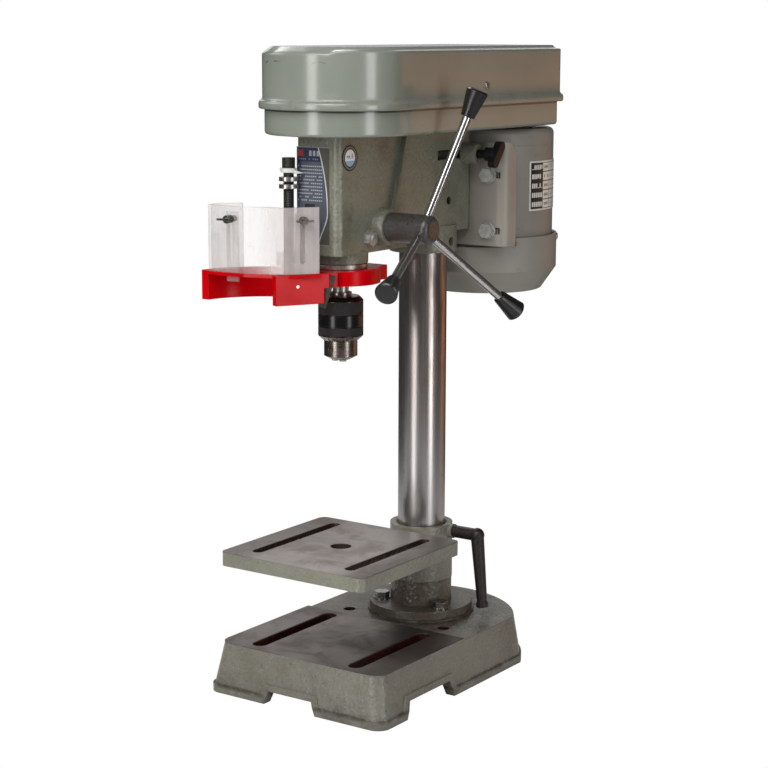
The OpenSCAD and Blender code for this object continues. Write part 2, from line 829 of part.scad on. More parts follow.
lug_half = 8.5;
lock_boss_x = 46;
lock_boss_r = 9.5;
lock_r = 4;
slot_half = 4.5;
quill_lock_y = 126;
quill_lock_z = head_bottom + 13.3;
quill_lock_r = 3.5;

module head_set_screws() {
  socket_r = 2;
  for (z = [set_screw_high, set_screw_low]) color(black_c) up(z) difference() {
    rod_x_to(column_r + hair, body_half - lip, set_screw_r);
    rod_x_to(body_half - 2 * lip, body_half, socket_r);
  }
}

module quill_lock_screw() {
  af = 13;
  nut_t = 6;
  color(chrome_c) translate([0, -quill_lock_y, quill_lock_z]) {
    rod_x_to(quill_r + pass_gap, nose_half + nut_t + lip, quill_lock_r);
    translate([nose_half, 0, 0]) rotate([0, 90, 0]) hex(af, nut_t);
  }
}

// gaps between rack teeth, cut across the back of the quill
module rack_gaps() {
  tip = quill_r + lip;
  root = rack_line - 1.27 * feed_module;
  half = rack_pitch / 4 + hair;
  slope = tan(20);
  for (k = [-2:13]) up(feed_z + k * rack_pitch)
    rotate([90, 0, 90]) linear_extrude(quill_r * 2, center = true)
      polygon([[root, (root - rack_line) * slope + half], [tip, (tip - rack_line) * slope + half],
        [tip, (rack_line - tip) * slope - half], [root, (rack_line - root) * slope - half]]);
}

module quill() {
  shoulder = stop_arm_z;
  color(steel_c) translate(spindle_axis) difference() {
    union() {
      up(quill_neck_bottom) cylinder(r = quill_r, h = quill_high - quill_neck_bottom);
      up(quill_neck_bottom)
        cylinder(r = quill_neck_r, h = shoulder - quill_neck_bottom);
    }
    up(quill_neck_bottom - lip) cylinder(r = bearing_r - lip, h = quill_high);
    for (z = [quill_neck_bottom - lip, quill_high - bearing_h])
      up(z) cylinder(r = bearing_r, h = bearing_h + lip);
    rack_gaps();
  }
}

module quill_bearings() {
  color(chrome_c) translate(spindle_axis)
    for (z = [quill_neck_bottom + lip, quill_high - bearing_h])
      ring_at(z, z + bearing_h - (z < feed_z ? lip : 0), bearing_r, spindle_r);
}

module spindle() {
  color(steel_c) translate(spindle_axis) {
    up(chuck_top_z - arbor_deep)
      cylinder(r1 = arbor_r - hair * 3, r2 = arbor_r, h = arbor_deep);
    up(chuck_top_z - hair) cylinder(r = arbor_r, h = quill_neck_bottom - chuck_top_z);
    up(chuck_top_z) cylinder(r = spindle_r - fit_gap, h = spindle_high - chuck_top_z);
    for (a = [0:90:270]) turn(a)
      block([0, -spline_w / 2, head_top - lip], [spline_r, spline_w / 2, spindle_high]);
  }
}
spline_w = 3;
spline_r = 7.5;
arbor_deep = 18;

module stop_arm() {
  arm_half = 5;
  eye_r = 24.2;
  plate = collar_bottom - stop_arm_z - hair * 6;
  far = norm([stop_x, stop_y]);
  color(steel_c) translate(spindle_axis) up(stop_arm_z) difference() {
    union() {
      cylinder(r = eye_r, h = plate);
      rotate([0, 0, atan2(-stop_y, -stop_x)]) block([0, -arm_half, 0], [far, arm_half, plate]);
      translate([-stop_x, -stop_y, 0]) cylinder(r = stop_r + lip, h = plate);
    }
    up(-lip) cylinder(r = quill_r, h = plate + 2 * lip);
    translate([-stop_x, -stop_y, -lip]) cylinder(r = stop_r - rod_step, h = plate + 2 * lip);
  }
}

rod_step = 1;
stop_cap_h = 9;

module at_stop() {
  translate(spindle_axis) translate([-stop_x, -stop_y, 0]) children();
}

module depth_stop_rod() {
  color(black_c) at_stop() {
    up(stop_arm_z) cylinder(r = stop_r - rod_step, h = lip * 3);
    up(collar_bottom - hair * 6) cylinder(r = stop_r, h = stop_high - collar_bottom);
    up(stop_high - stop_cap_h) cylinder(r = stop_r + thin, h = stop_cap_h);
  }
}

module depth_stop_nuts() {
  nut_r = 8.6;
  nut_h = 3.6;
  apart = 6.4;
  for (z = [stop_nut_z, stop_nut_z + apart]) color(steel_c) at_stop()
    ring_at(z, z + nut_h, nut_r, stop_r);
}

module depth_pointer() {
  tall = 3.8;
  wing = 17;
  tip = 1;
  low = stop_high - stop_cap_h - tall - eps * 20;
  color([0.8, 0.8, 0.78]) at_stop() difference() {
    union() {
      up(low) cylinder(r = stop_r + thin * 2, h = tall);
      translate([0, -thin, low]) rotate([90, 0, 0]) up(-thin) linear_extrude(thin)
        polygon([[-stop_r * 2, tall], [0, tall], [wing, 0], [wing / 2, -tip],
          [0, 0], [-stop_r * 2, tip]]);
    }
    up(low - lip * 2) cylinder(r = stop_r, h = stop_high);
  }
}

// outline of a gear with involute flanks
function inv(a) = tan(a) * 180 / PI - a;
function gear_pts(m, n, loose) =
  let (rp = m * n / 2, rb = rp * cos(20), ro = rp + m, rf = rp - 1.25 * m)
  [for (k = [0:n - 1], s = [-1, 1], i = [0:6])
    let (j = s < 0 ? i : 6 - i, r = j == 0 ? rf : rb + (ro - rb) * (j - 1) / 5)
    let (w = 90 / n - loose + inv(20) - (r > rb ? inv(acos(rb / r)) : 0))
    let (a = 360 / n * k + s * w) [r * cos(a), r * sin(a)]];

module feed_shaft() {
  color(steel_c) translate(feed_axis) {
    rotate([0, 90, 0]) turn(90) linear_extrude(pinion_w, center = true)
      polygon(gear_pts(feed_module, pinion_teeth, 0.6));
    rod_x_to(-spring_face_x - spring_cap_w + lip, boss_x + pass_gap, feed_r);
    rod_x_to(boss_x, hub_end_x - rib * 2, feed_r - lip);
  }
}

function arm_dir(k) =
  let (t = arm_angle + 120 * k)
  [sin(arm_lean), cos(arm_lean) * cos(t), cos(arm_lean) * sin(t)];

// place things along one arm, with +Z pointing outward
module along_arm(k) {
  t = arm_angle + 120 * k;
  translate(feed_axis) translate([arm_x, 0, 0])
    rotate([t - 90, 0, 0]) rotate([0, arm_lean, 0]) children();
}

module feed_hub() {
  round_r = 6;
  color(black_c) difference() {
    translate(feed_axis) rotate([0, 90, 0]) {
      up(boss_x + pass_gap)
        cylinder(r = hub_r, h = hub_end_x - boss_x - round_r - pass_gap);
      up(hub_end_x - round_r) intersection() {
        union() {
          rotate_extrude() translate([hub_r - round_r, 0]) circle(r = round_r);
          up(-round_r) cylinder(r = hub_r - round_r, h = round_r * 2);
        }
        up(-eps) cylinder(r = hub_r * 2, h = round_r * 2);
      }
    }
    translate(feed_axis) rod_x_to(boss_x - lip, hub_end_x - rib * 2, feed_r - lip);
    for (k = [0:2]) along_arm(k) up(arm_root) cylinder(r = arm_r, h = hub_r * 3);
  }
}
arm_root = 8;

module feed_arms() {
  for (k = [0:2]) color(chrome_c) along_arm(k)
    up(arm_root) cylinder(r = arm_r, h = knob_out - arm_root - rib);
}

module feed_knobs() {
  edge = 1.5;
  for (k = [0:2]) color(black_c) along_arm(k) difference() {
    union() {
      up(knob_in) cylinder(r1 = knob_r1, r2 = knob_r2, h = knob_out - knob_in - edge);
      up(knob_out - edge) cylinder(r1 = knob_r2, r2 = knob_r2 - edge, h = edge);
    }
    up(knob_in - lip) cylinder(r = arm_r, h = knob_out - knob_in - rib + lip);
  }
}

// flat spiral strip
function spiral_pt(r, a) = [r * cos(a), r * sin(a)];
module spiral(r0, r1, turns, t, h) {
  n = 20 * turns;
  linear_extrude(h) polygon(concat(
    [for (i = [0:n]) spiral_pt(r0 + (r1 - r0) * i / n, 360 * turns * i / n)],
    [for (i = [n:-1:0]) spiral_pt(r0 + t + (r1 - r0) * i / n, 360 * turns * i / n)]));
}

module return_spring() {
  wide = 8;
  color(steel_c) translate(feed_axis) translate([-spring_face_x - spring_room - wide / 2, 0, 0])
    rotate([0, 90, 0]) spiral(feed_r + lip, spring_cap_r - sheet_t - thin, 5, thin / 2, wide);
}
spring_room = 7;

module spring_cap() {
  far = -spring_face_x - spring_cap_w;
  color(black_c) translate(feed_axis) difference() {
    rod_x_to(far, -spring_face_x, spring_cap_r);
    rod_x_to(far + sheet_t, -spring_face_x - thin, spring_cap_r - sheet_t);
    rod_x_to(far - lip, 0, feed_r + fit_gap);
  }
}

// chuck

// one round jaw path, leaning out from the tip
module jaw_path(k, r, low, len) {
  translate(spindle_axis) turn(90 + 120 * k)
    translate([grip_r + jaw_set, 0, chuck_tip_z - jaw_out]) rotate([0, jaw_lean, 0])
      up(low) cylinder(r = r, h = len);
}
jaw_set = 1.6;
nut_low = tooth_low_z + 0.7;
nut_high = nut_low + 4.2;
sleeve_bore = 15.1;

// radius that clears the jaws at a height
function jaw_reach(z) = grip_r + jaw_set + (z - chuck_tip_z + jaw_out) * tan(jaw_lean)
  + jaw_r / cos(jaw_lean);

module chuck_body() {
  key_r = 2.6;
  hub = 10;
  groove_r = jaw_reach(nut_low) - fit_gap;
  color(chrome_c) difference() {
    translate(spindle_axis) difference() {
      union() {
        up(chuck_tip_z)
          cylinder(r1 = chuck_tip_r, r2 = chuck_nose_r, h = chuck_cone_z - chuck_tip_z);
        up(chuck_cone_z) cylinder(r = chuck_nose_r, h = tooth_low_z - chuck_cone_z);
        up(chuck_cone_z) cylinder(r = groove_r, h = nut_high - chuck_cone_z + pass_gap);
        up(nut_high + pass_gap)
          cylinder(r = sleeve_bore - hair, h = chuck_sleeve_z - nut_high - pass_gap);
        up(chuck_sleeve_z - eps) cylinder(r = hub, h = chuck_top_z - chuck_sleeve_z + eps);
      }
      up(chuck_tip_z - lip) cylinder(r = grip_r + jaw_set * 2, h = jaw_len * lug_share);
      up(chuck_top_z - arbor_deep - hair)
        cylinder(r1 = arbor_r - hair * 3, r2 = arbor_r, h = arbor_deep + hair + eps);
      for (a = [30:120:270]) turn(a) up(key_z)
        rod_x_to(chuck_nose_r - key_r, chuck_nose_r * 2, key_r);
    }
    for (k = [0:2]) jaw_path(k, jaw_r + fit_gap, -jaw_close - lip, jaw_len + jaw_close * 2);
  }
}
key_z = chuck_cone_z + 7;

module chuck_sleeve() {
  knurl_low = tooth_high_z + 8.5;
  band = 11;
  groove = 0.5;
  tooth_r = 0.95;
  shoulder = 3.5;
  tooth_len = 8.8;
  foot_r = chuck_nose_r + lip / 2;
  color(black_c) translate(spindle_axis) difference() {
    union() {
      up(tooth_low_z)
        cylinder(r1 = foot_r, r2 = chuck_r, h = tooth_high_z - tooth_low_z);
      up(tooth_high_z) cylinder(r = chuck_r, h = chuck_sleeve_z - tooth_high_z - shoulder);
      up(chuck_sleeve_z - shoulder)
        cylinder(r1 = chuck_r, r2 = chuck_r - shoulder, h = shoulder);
    }
    up(nut_high) cylinder(r = sleeve_bore, h = chuck_sleeve_z);
    up(tooth_low_z - lip)
      cylinder(r1 = jaw_reach(tooth_low_z - lip) + hair * 2, r2 = jaw_reach(nut_high + hair) + hair * 2,
        h = nut_high + hair - tooth_low_z + lip);
    up(tooth_low_z - lip) cylinder(r = chuck_nose_r + hair, h = nut_low - tooth_low_z + lip);
    for (z = [knurl_low, knurl_low + band]) ring_at(z, z + groove * 2, chuck_r + lip, chuck_r - groove);
    for (k = [0:tooth_count - 1]) turn(360 / tooth_count * k)
      translate([foot_r, 0, tooth_low_z - hair])
        rotate([0, atan2(chuck_r - foot_r, tooth_high_z - tooth_low_z), 0])
          up(-lip) cylinder(r = tooth_r, h = tooth_len, $fn = 16);
  }
}

module chuck_jaw(k) {
  apex = grip_min_r + hair;
  far = jaw_len * 2;
  wide = (far - apex) * tan(60);
  color(steel_c) intersection() {
    difference() {
      jaw_path(k, jaw_r, -lip, jaw_len + lip);
      translate(spindle_axis) cylinder(r = grip_r, h = head_bottom);
    }
    translate(spindle_axis) up(chuck_tip_z - jaw_out) turn(90 + 120 * k)
      linear_extrude(far) polygon([[apex, 0], [far, wide], [far, -wide]]);
  }
}
module chuck_jaw_1() { chuck_jaw(0); }
module chuck_jaw_2() { chuck_jaw(1); }
module chuck_jaw_3() { chuck_jaw(2); }

// belt cover

// sweep a wall section round the cover's plan; the section's X is measured outward
module wall_sweep(half, back) {
  rc = cover_corner_r;
  translate(spindle_axis) turn(180) rotate_extrude(angle = 180, $fn = 96)
    translate([half, 0]) children();
  for (m = [0, 1]) mirror([m, 0, 0]) {
    translate([0, back - rc, 0]) rotate([90, 0, 0]) linear_extrude(back - rc + spindle_y)
      translate([half, 0]) children();
    translate([half - rc, back - rc, 0]) rotate_extrude(angle = 90) translate([rc, 0]) children();
  }
  translate([rc - half, back, 0]) rotate([90, 0, 90]) linear_extrude((half - rc) * 2) children();
}

module plan(half, back, rc) {
  translate([0, -spindle_y]) circle(r = half, $fn = 96);
  translate([-half, -spindle_y]) square([half * 2, back - rc + spindle_y]);
  translate([rc - half, -spindle_y]) square([half * 2 - rc * 2, back + spindle_y]);
  for (x = [rc - half, half - rc]) translate([x, back - rc]) circle(r = rc);
}

module belt_tray() {
  t = sheet_t;
  foot = 2.5;
  wall_top = seam_z - fit_gap * 2;
  hub_hole = 15;
  slot_r = shaft_r + 4;
  color(cover_c) difference() {
    union() {
      up(tray_bottom) linear_extrude(t)
        plan(tray_half - foot, cover_back - foot, cover_corner_r - foot);
      wall_sweep(tray_half, cover_back) polygon([[-foot - hair, tray_bottom], [-foot, tray_bottom],
        [-foot * 0.3, tray_bottom + foot * 0.3], [0, tray_bottom + foot], [0, wall_top],
        [-t, wall_top], [-t, tray_bottom + foot + t], [-foot - hair, tray_bottom + t]]);
      for (y = [hinge_y1, hinge_y2]) block([-hinge_x - hinge_r, y - hinge_len, seam_z - hinge_r],
        [lip / 2 - tray_half, y, wall_top]);
    }
    translate(spindle_axis) up(tray_bottom - lip) cylinder(r = hub_hole, h = t * 4);
    up(tray_bottom - lip) linear_extrude(t * 4) {
      translate([0, motor_y - motor_in]) circle(r = slot_r);
      translate([0, motor_y + motor_out]) circle(r = slot_r);
      translate([-slot_r, motor_y - motor_in]) square([slot_r * 2, motor_in + motor_out]);
    }
    for (p = tray_screw_places) translate([p[0], p[1], tray_bottom - lip])
      cylinder(r = tray_screw_r, h = t * 4);
    translate([-hinge_x, 0, seam_z]) rod_y_to(-cover_back, cover_back, hinge_r + pass_gap + hinge_wall);
  }
  color(cover_c) for (y = [hinge_y1, hinge_y2]) translate([-hinge_x, 0, seam_z]) difference() {
    union() {
      rod_y_to(y - hinge_len, y, hinge_r + hinge_wall);
      block([0, y - hinge_len, -hinge_r - hinge_wall], [hinge_x - rim_half + lip, y, -fit_gap * 2]);
    }
    rod_y_to(y - hinge_len - lip, y + lip, hinge_r);
    block([hinge_x - rim_half + eps, y - hinge_len - lip, -hinge_r * 4], [hinge_x, y + lip, hinge_r * 4]);
  }
}
hinge_x = 77;
hinge_r = 1.5;
hinge_wall = 1.5;
hinge_len = 14;
hinge_y1 = -60;
hinge_y2 = 80;
tray_screw_r = 2.5;
tray_screw_places = [[-20, -108], [20, -108], [-22, 12], [22, 12]];

module tray_fixings() {
  head_r = 5;
  head_h = 2;
  for (p = tray_screw_places) color(steel_c) translate([p[0], p[1], tray_bottom]) {
    cylinder(r = tray_screw_r, h = sheet_t);
    up(sheet_t) cylinder(r = head_r, h = head_h);
  }
  for (y = [hinge_y1, hinge_y2]) color(steel_c) translate([-hinge_x, 0, seam_z])
    rod_y_to(y - hinge_len * 1.5, y + hinge_len * 0.5, hinge_r);
}

module belt_lid() {
  t = sheet_t;
  r = lid_edge_r;
  a = lid_lean;
  rim_u = rim_half - lid_half;
  low = seam_z + fit_gap * 2;
  rim_h = 5.6;
  back = cover_back + lid_half - tray_half;
  shoulder = lid_top - (lid_flank - r * (1 - cos(a))) / tan(a) + r * (1 - sin(a));
  color(cover_c) {
    wall_sweep(lid_half, back) polygon(concat(
      [[-t, low], [rim_u, low], [rim_u, low + rim_h], [0, low + rim_h + lip]],
      arc_pts(-r, shoulder - r, r, 0, a, 4), [[-lid_flank, lid_top], [-lid_flank, lid_top - t]],
      arc_pts(-r, shoulder - r, r - t, a, 0, 4)));
    up(lid_top - t) linear_extrude(t)
      plan(lid_half - lid_flank + eps, back - lid_flank + eps, cover_corner_r - lid_flank);
    for (y = [hinge_y1, hinge_y2]) translate([-hinge_x, 0, seam_z]) difference() {
      union() {
        rod_y_to(y + pass_gap, y + hinge_len * 0.5, hinge_r + hinge_wall);
        block([0, y + pass_gap, fit_gap * 2], [hinge_x - rim_half + lip, y + hinge_len * 0.5, rim_h]);
      }
      rod_y_to(y - lip, y + hinge_len, hinge_r + fit_gap);
      block([hinge_x - rim_half + eps, y - lip, -hinge_r * 4], [hinge_x, y + hinge_len, hinge_r * 4]);
    }
  }
}

module lid_screw() {
  head_r = 3.6;
  color(chrome_c) up(seam_z + lid_screw_rise) {
    rod_x_to(lid_half, lid_half + lip, head_r);
    rod_x_to(lid_half - sheet_t * 4, lid_half - sheet_t, head_r - thin);
  }
}

// belt drive

pulley_low = tray_bottom + 4.5;
flange_up = 3.2;
pulley_hub_r = 12;

// stepped V pulley; the step radii come in order from the bottom
module pulley(radii, bore) {
  in_w = belt_w / 2 - belt_depth * tan(belt_flank);
  floor_r = belt_depth / 2 + 1;
  rotate_extrude(convexity = 6) polygon(concat([[bore, 0]],
    [for (i = [0:step_count - 1], j = [0:5]) let (z = step_h * i, c = z + step_h / 2, r = radii[i])
      let (half_out = belt_w / 2 + (flange_up - belt_depth / 2) * tan(belt_flank) + hair,
        half_in = in_w - tan(belt_flank) + hair)
      j == 0 ? [r + flange_up, z] : j == 1 ? [r + flange_up, c - half_out]
      : j == 2 ? [r - floor_r, c - half_in] : j == 3 ? [r - floor_r, c + half_in]
      : j == 4 ? [r + flange_up, c + half_out] : [r + flange_up, z + step_h]],
    [[bore, step_h * step_count]]));
}

module spindle_pulley() {
  radii = [for (i = [0:step_count - 1]) spindle_pulley_big - i * step_dr];
  color(chrome_c) translate(spindle_axis) difference() {
    union() {
      up(pulley_low) pulley(radii, spindle_r);
      ring_at(head_top - top_seat_deep + lip / 4, pulley_low + eps, pulley_hub_r, spindle_r);
    }
    up(head_top - rib * 3) cylinder(r = spindle_r, h = spindle_high);
    for (a = [0:90:270]) turn(a)
      block([0, -spline_w / 2 - hair, head_top - rib * 3],
        [spline_r + hair, spline_w / 2 + hair, spindle_high]);
  }
}

module pulley_bearings() {
  color(steel_c) translate(spindle_axis)
    ring_at(head_top - top_seat_deep, head_top - thin, top_seat_r, pulley_hub_r + fit_gap);
}

module motor_pulley() {
  radii = [for (i = [0:step_count - 1]) motor_pulley_small + i * step_dr];
  color(chrome_c) translate(motor_axis) up(pulley_low) pulley(radii, shaft_r);
}

// belt round both pulleys, swept ring by ring with its V section
module drive_belt() {
  r1 = spindle_pulley_big - belt_step * step_dr;
  r2 = motor_pulley_small + belt_step * step_dr;
  apart = spindle_y + motor_y + motor_out;
  b = asin((r1 - r2) / apart);
  n = 32;
  in_w = belt_w / 2 - belt_depth * tan(belt_flank);
  stops = [for (m = [0, 1], i = [0:n]) m == 0
    ? [0, r1, 180 - b + (180 + 2 * b) * i / n] : [apart, r2, b + (180 - 2 * b) * i / n]];
  count = len(stops);
  section = [[-belt_depth / 2, -in_w], [belt_depth / 2, -belt_w / 2],
    [belt_depth / 2, belt_w / 2], [-belt_depth / 2, in_w]];
  pts = [for (q = stops, c = section) let (r = q[1] + c[0])
    [r * cos(q[2]), q[0] + r * sin(q[2]), c[1]]];
  faces = [for (i = [0:count - 1], j = [0:3], k = [0, 1])
    let (a = i * 4 + j, d = i * 4 + (j + 1) % 4, up = ((i + 1) % count) * 4)
    k == 0 ? [a, d, up + j] : [d, up + (j + 1) % 4, up + j]];
  color(black_c) translate(spindle_axis) up(pulley_low + (belt_step + 0.5) * step_h)
    polyhedron(pts, faces);
}

// motor

module motor_can() {
  color(motor_c) translate(motor_axis) ring_at(can_low, cap_seam, can_r, can_r - can_wall);
}

module motor_stator() {
  color([0.5, 0.35, 0.2]) translate(motor_axis)
    ring_at(can_low + stator_room, cap_seam - stator_room, can_r - can_wall, rotor_r + air_gap);
}

module motor_end_plate() {
  round_r = 6;
  vent_r = 8;
  vent_share = 0.6;
  low = can_low - end_plate_t;
  color(motor_c) translate(motor_axis) {
    rotate_extrude($fn = 96) polygon(concat([[shaft_r + fit_gap, cap_seam], [can_r, cap_seam]],
      arc_pts(can_r - round_r, motor_top - round_r, round_r, 0, 90, 6),
      [[shaft_r + fit_gap, motor_top]]));
    difference() {
      up(low) cylinder(r = can_r, h = end_plate_t);
      up(low - lip) cylinder(r = shaft_r + fit_gap, h = end_plate_t + lip * 2);
      for (a = [0:60:300]) turn(a) translate([can_r * vent_share, 0, low - lip])
        cylinder(r = vent_r, h = end_plate_t + lip * 2);
    }
  }
}

module motor_fan_cover() {
  t = 2;
  round_r = 4;
  web_room = 1;
  slot_w = 5;
  slot_rows = [18, 34];
  foot_half = 4;
  foot_tall = 10;
  color(motor_c) difference() {
    translate(motor_axis) difference() {
      rotate_extrude($fn = 96) polygon(concat([[0, bell_low]],
        arc_pts(bell_low_r - round_r, bell_low + round_r, round_r, -90, -45, 3),
        [[bell_r, bell_shoulder], [bell_r, bell_rim], [bell_r - t, bell_rim],
        [bell_r - t, bell_shoulder + t / 2], [bell_low_r - round_r, bell_low + t], [0, bell_low + t]]));
      for (a = [0:30:330], x = slot_rows) turn(a)
        translate([x, -slot_w / 2, bell_low - lip]) cube([slot_w * 2, slot_w, lip * 3]);
    }
    block([-cradle_half - web_room, 0, cradle_low - web_room * 3],
      [cradle_half + web_room, flange_reach + web_room, bell_rim + lip]);
  }
  // three feet that hold the cover off the can
  color(motor_c) translate(motor_axis) for (a = bell_screw_angles) turn(a)
    block([can_r, -foot_half, bell_rim - foot_tall], [bell_r - t / 2, foot_half, bell_rim - t / 4]);
}
bell_screw_angles = [-35.5, 40, 150];

module motor_shaft() {
  low = bell_low + fan_lift - lip / 2;
  color(steel_c) translate(motor_axis) {
    up(low) cylinder(r = shaft_r, h = pulley_low + step_h * step_count - low);
    up(can_low + stator_room - lip)
      cylinder(r = rotor_r, h = can_rise - stator_room * 2 + lip * 2);
  }
}
air_gap = 1;
fan_lift = 19;

module motor_fan() {
  blade_t = 2;
  hub = 11;
  reach = 50;
  low = bell_low + fan_lift;
  tall = 13;
  color(black_c) translate(motor_axis) {
    ring_at(low, low + tall, hub, shaft_r);
    for (a = [0:45:315]) turn(a) translate([hub - blade_t / 2, -blade_t / 2, low])
      cube([reach - hub, blade_t, tall]);
  }
}

module motor_screws() {
  head_r = 4;
  head_h = 2.6;
  below_rim = 5.5;
  cap_share = 0.8;
  z = bell_rim - below_rim;
  color(chrome_c) translate(motor_axis) {
    for (a = bell_screw_angles) turn(a) up(z) rod_x_to(bell_r, bell_r + head_h, head_r);
    for (a = [0:90:270]) turn(a) translate([can_r * cap_share, 0, motor_top])
      cylinder(r = head_r, h = thin);
  }
}

module cradle_section() {
  difference() {
    round_rect([-cradle_half, web_y], [cradle_half, flange_reach * 2], cradle_bend);
    round_rect([web_t - cradle_half, web_y + web_t],
      [cradle_half - web_t, flange_reach * 3], cradle_bend - web_t);
    translate([-cradle_half * 2, flange_reach]) square([cradle_half * 4, flange_reach * 3]);
  }
}

module motor_cradle() {
  slot_half = 3;
  cut = 12;
  lug = [9, 7];
  color(motor_c) difference() {
    up(cradle_low) linear_extrude(cradle_high - cradle_low) cradle_section();
    for (x = [-rod_x, rod_x]) translate([x, 0, rod_z]) rod_y_to(0, flange_reach, rod_r);
    for (s = [-1, 1], z = [cradle_bolt_low, cradle_bolt_high]) translate([s * cradle_bolt_x, 0, z]) {
      rod_y_to(0, flange_reach, cradle_bolt_r);
      block([-slot_half, 0, -slot_half], [cut, flange_reach, slot_half]);
    }
    for (s = [-1, 1]) translate([s * cradle_half, flange_reach, cradle_high]) rotate([0, 90, 0])
      cylinder(r = cut - lip, h = web_t * 4, center = true, $fn = 4);
  }
  color(motor_c) {
    for (s = [-1, 1], z = [cradle_bolt_low, cradle_bolt_high])
      translate([s * cradle_bolt_x, web_y + web_t, z]) difference() {
        block([-lug[0], 0, -lug[1]], [s > 0 ? lug[0] : lug[0] + rib, web_t, lug[1]]);
        rod_y_to(-lip, rib, cradle_bolt_r);
      }
  }
}

module cradle_bolts() {
  washer_r = 8;
  washer_t = 1.6;
  head_h = 5.3;
  af = 13;
  for (s = [-1, 1], z = [cradle_bolt_low, cradle_bolt_high]) color(chrome_c)
    translate([s * cradle_bolt_x, web_y, z]) {
      rod_y_to(-washer_t, web_t * 2, cradle_bolt_r);
      rod_y_to(-washer_t, 0, washer_r);
      translate([0, -washer_t, 0]) rotate([90, 0, 0]) hex(af, head_h);
    }
}

module slide_rods() {
  for (x = [-rod_x, rod_x]) color(steel_c) translate([x, 0, rod_z])
    rod_y_to(-rod_back, web_y + web_t, rod_r);
}

rod_back = 20;

// wing knob that locks the slide rods
module slide_lock_knob() {
  lobe_r = 4.4;
  lobe_at = 9.5;
  wing_w = 7;
  hub_r = 6.5;
  hub_w = 7;
  wing_lean = 37;
  color(black_c) translate([0, lock_y, rod_z]) {
    rod_x_to(rod_x + rod_r + hair, lock_x, lock_r);
    rod_x_to(lock_x - wing_w / 2 - hub_w, lock_x, hub_r);
    rotate([-wing_lean, 0, 0]) {
      block([lock_x - wing_w / 2, -lobe_r, -lobe_at], [lock_x + wing_w / 2, lobe_r, lobe_at]);
      for (z = [-lobe_at, lobe_at]) up(z)
        rod_x_to(lock_x - wing_w / 2, lock_x + wing_w / 2, lobe_r);
    }
  }
}

module capacitor_box() {
  corner = 5;
  inner_share = 0.8;
  low = bell_rim + capacitor_gap;
  color(motor_c) difference() {
    up(low) linear_extrude(capacitor_h)
      round_rect([-capacitor_half, motor_y + can_r * inner_share],
        [capacitor_half, motor_y + can_r + capacitor_out], corner);
    translate(motor_axis) up(low - lip) cylinder(r = can_r, h = capacitor_h * 2, $fn = 96);
  }
}

// plates

module data_plate() {
  t = 0.5;
  tall = 48;
  low = bell_rim + 25;
  from_angle = -18.5;
  wide_angle = 49;
  color([0.9, 0.9, 0.88]) translate(motor_axis) up(low) turn(from_angle)
    rotate_extrude(angle = wide_angle, $fn = 96) translate([can_r + fit_gap, 0]) square([t, tall]);
}

module front_plates() {
  t = 0.4;
  left = -22;
  right = 13.4;
  low = head_bottom + 9;
  high = head_top - 10;
  badge_r = 11.5;
  badge_y = -nose_front + 15.7;
  badge_z = head_top - 19.5;
  color([0.35, 0.4, 0.48]) block([left, -nose_front - t, low], [right, -nose_front, high]);
  color([0.9, 0.9, 0.9]) translate([0, badge_y, badge_z]) rod_x_to(nose_half, nose_half + t, badge_r);
}

// switch

module switch_box() {
  t = 2.5;
  low = box_low;
  color(black_c) difference() {
    block([-body_half - box_d, -box_y - box_w / 2, low], [-body_half, -box_y + box_w / 2, low + box_h]);
    block([-body_half - box_d + t, -box_y - box_w / 2 + t, low + t],
      [-body_half - t, -box_y + box_w / 2 - t, low + box_h - t]);
    for (s = [-1, 1]) translate([0, -box_y + s * box_w / 4, low + box_h / 2])
      rod_x_to(-body_half - box_d - t, -body_half - box_d / 2, button_r + pass_gap);
    translate([-body_half - box_d / 2, -box_y, low - lip]) cylinder(r = gland_bore, h = t * 2);
  }
}
gland_bore = 3.5;

module button(s, c) {
  out = 5;
  color(c) translate([0, -box_y + s * box_w / 4, box_low + box_h / 2]) {
    rod_x_to(-body_half - box_d - out, -body_half - box_d + rib, button_r);
    rod_x_to(-body_half - box_d + rib, -body_half - box_d + rib + lip, button_r + lip);
  }
}
module start_button() { button(1, [0.1, 0.5, 0.2]); }
module stop_button() { button(-1, red_c); }

module cable_gland() {
  af = 15;
  tall = 12;
  color(black_c) translate([-body_half - box_d / 2, -box_y, box_low]) difference() {
    union() {
      up(-tall) cylinder(r = af * 0.42, h = tall);
      up(-tall / 2) hex(af, tall / 2);
    }
    up(-tall - lip) cylinder(r = gland_bore, h = tall + lip * 2);
  }
}

// chuck guard, all lengths from the spindle axis

// outline of the clear shield, left to right
shield_pts = [[-66, -57], [-81, -73], [-80, -87], [-69, -88.5], [-42, -86.5], [-6, -76], [13, -50]];
arc_c = [-17.5, -94];
side_wall = [[-11, -83.5], [18.5, -32.6]];
end_lug = [[-85.5, -84], [-86.5, -80]];

// outline of a straight-sided wall through points, mitred where it turns
function across(pts, i) = let (d = pts[i + 1] - pts[i]) [-d[1], d[0]] / norm(d);
function side_pts(pts, w) = let (n = len(pts) - 1)
  [for (i = [0:n]) let (a = across(pts, max(i - 1, 0)), b = across(pts, min(i, n - 1)))
    pts[i] + (a + b) * w / (1 + a * b)];
module wall_path(pts, t) {
  other = side_pts(pts, -t / 2);
  polygon(concat(side_pts(pts, t / 2), [for (i = [len(pts) - 1:-1:0]) other[i]]));
}

// place things on one shield panel; X runs along it and -Y points out of the guard
module on_panel(i, along) {
  d = shield_pts[i + 1] - shield_pts[i];
  translate(spindle_axis) translate([shield_pts[i][0], shield_pts[i][1], 0])
    rotate([0, 0, atan2(d[1], d[0])]) translate([along, 0, 0]) children();
}
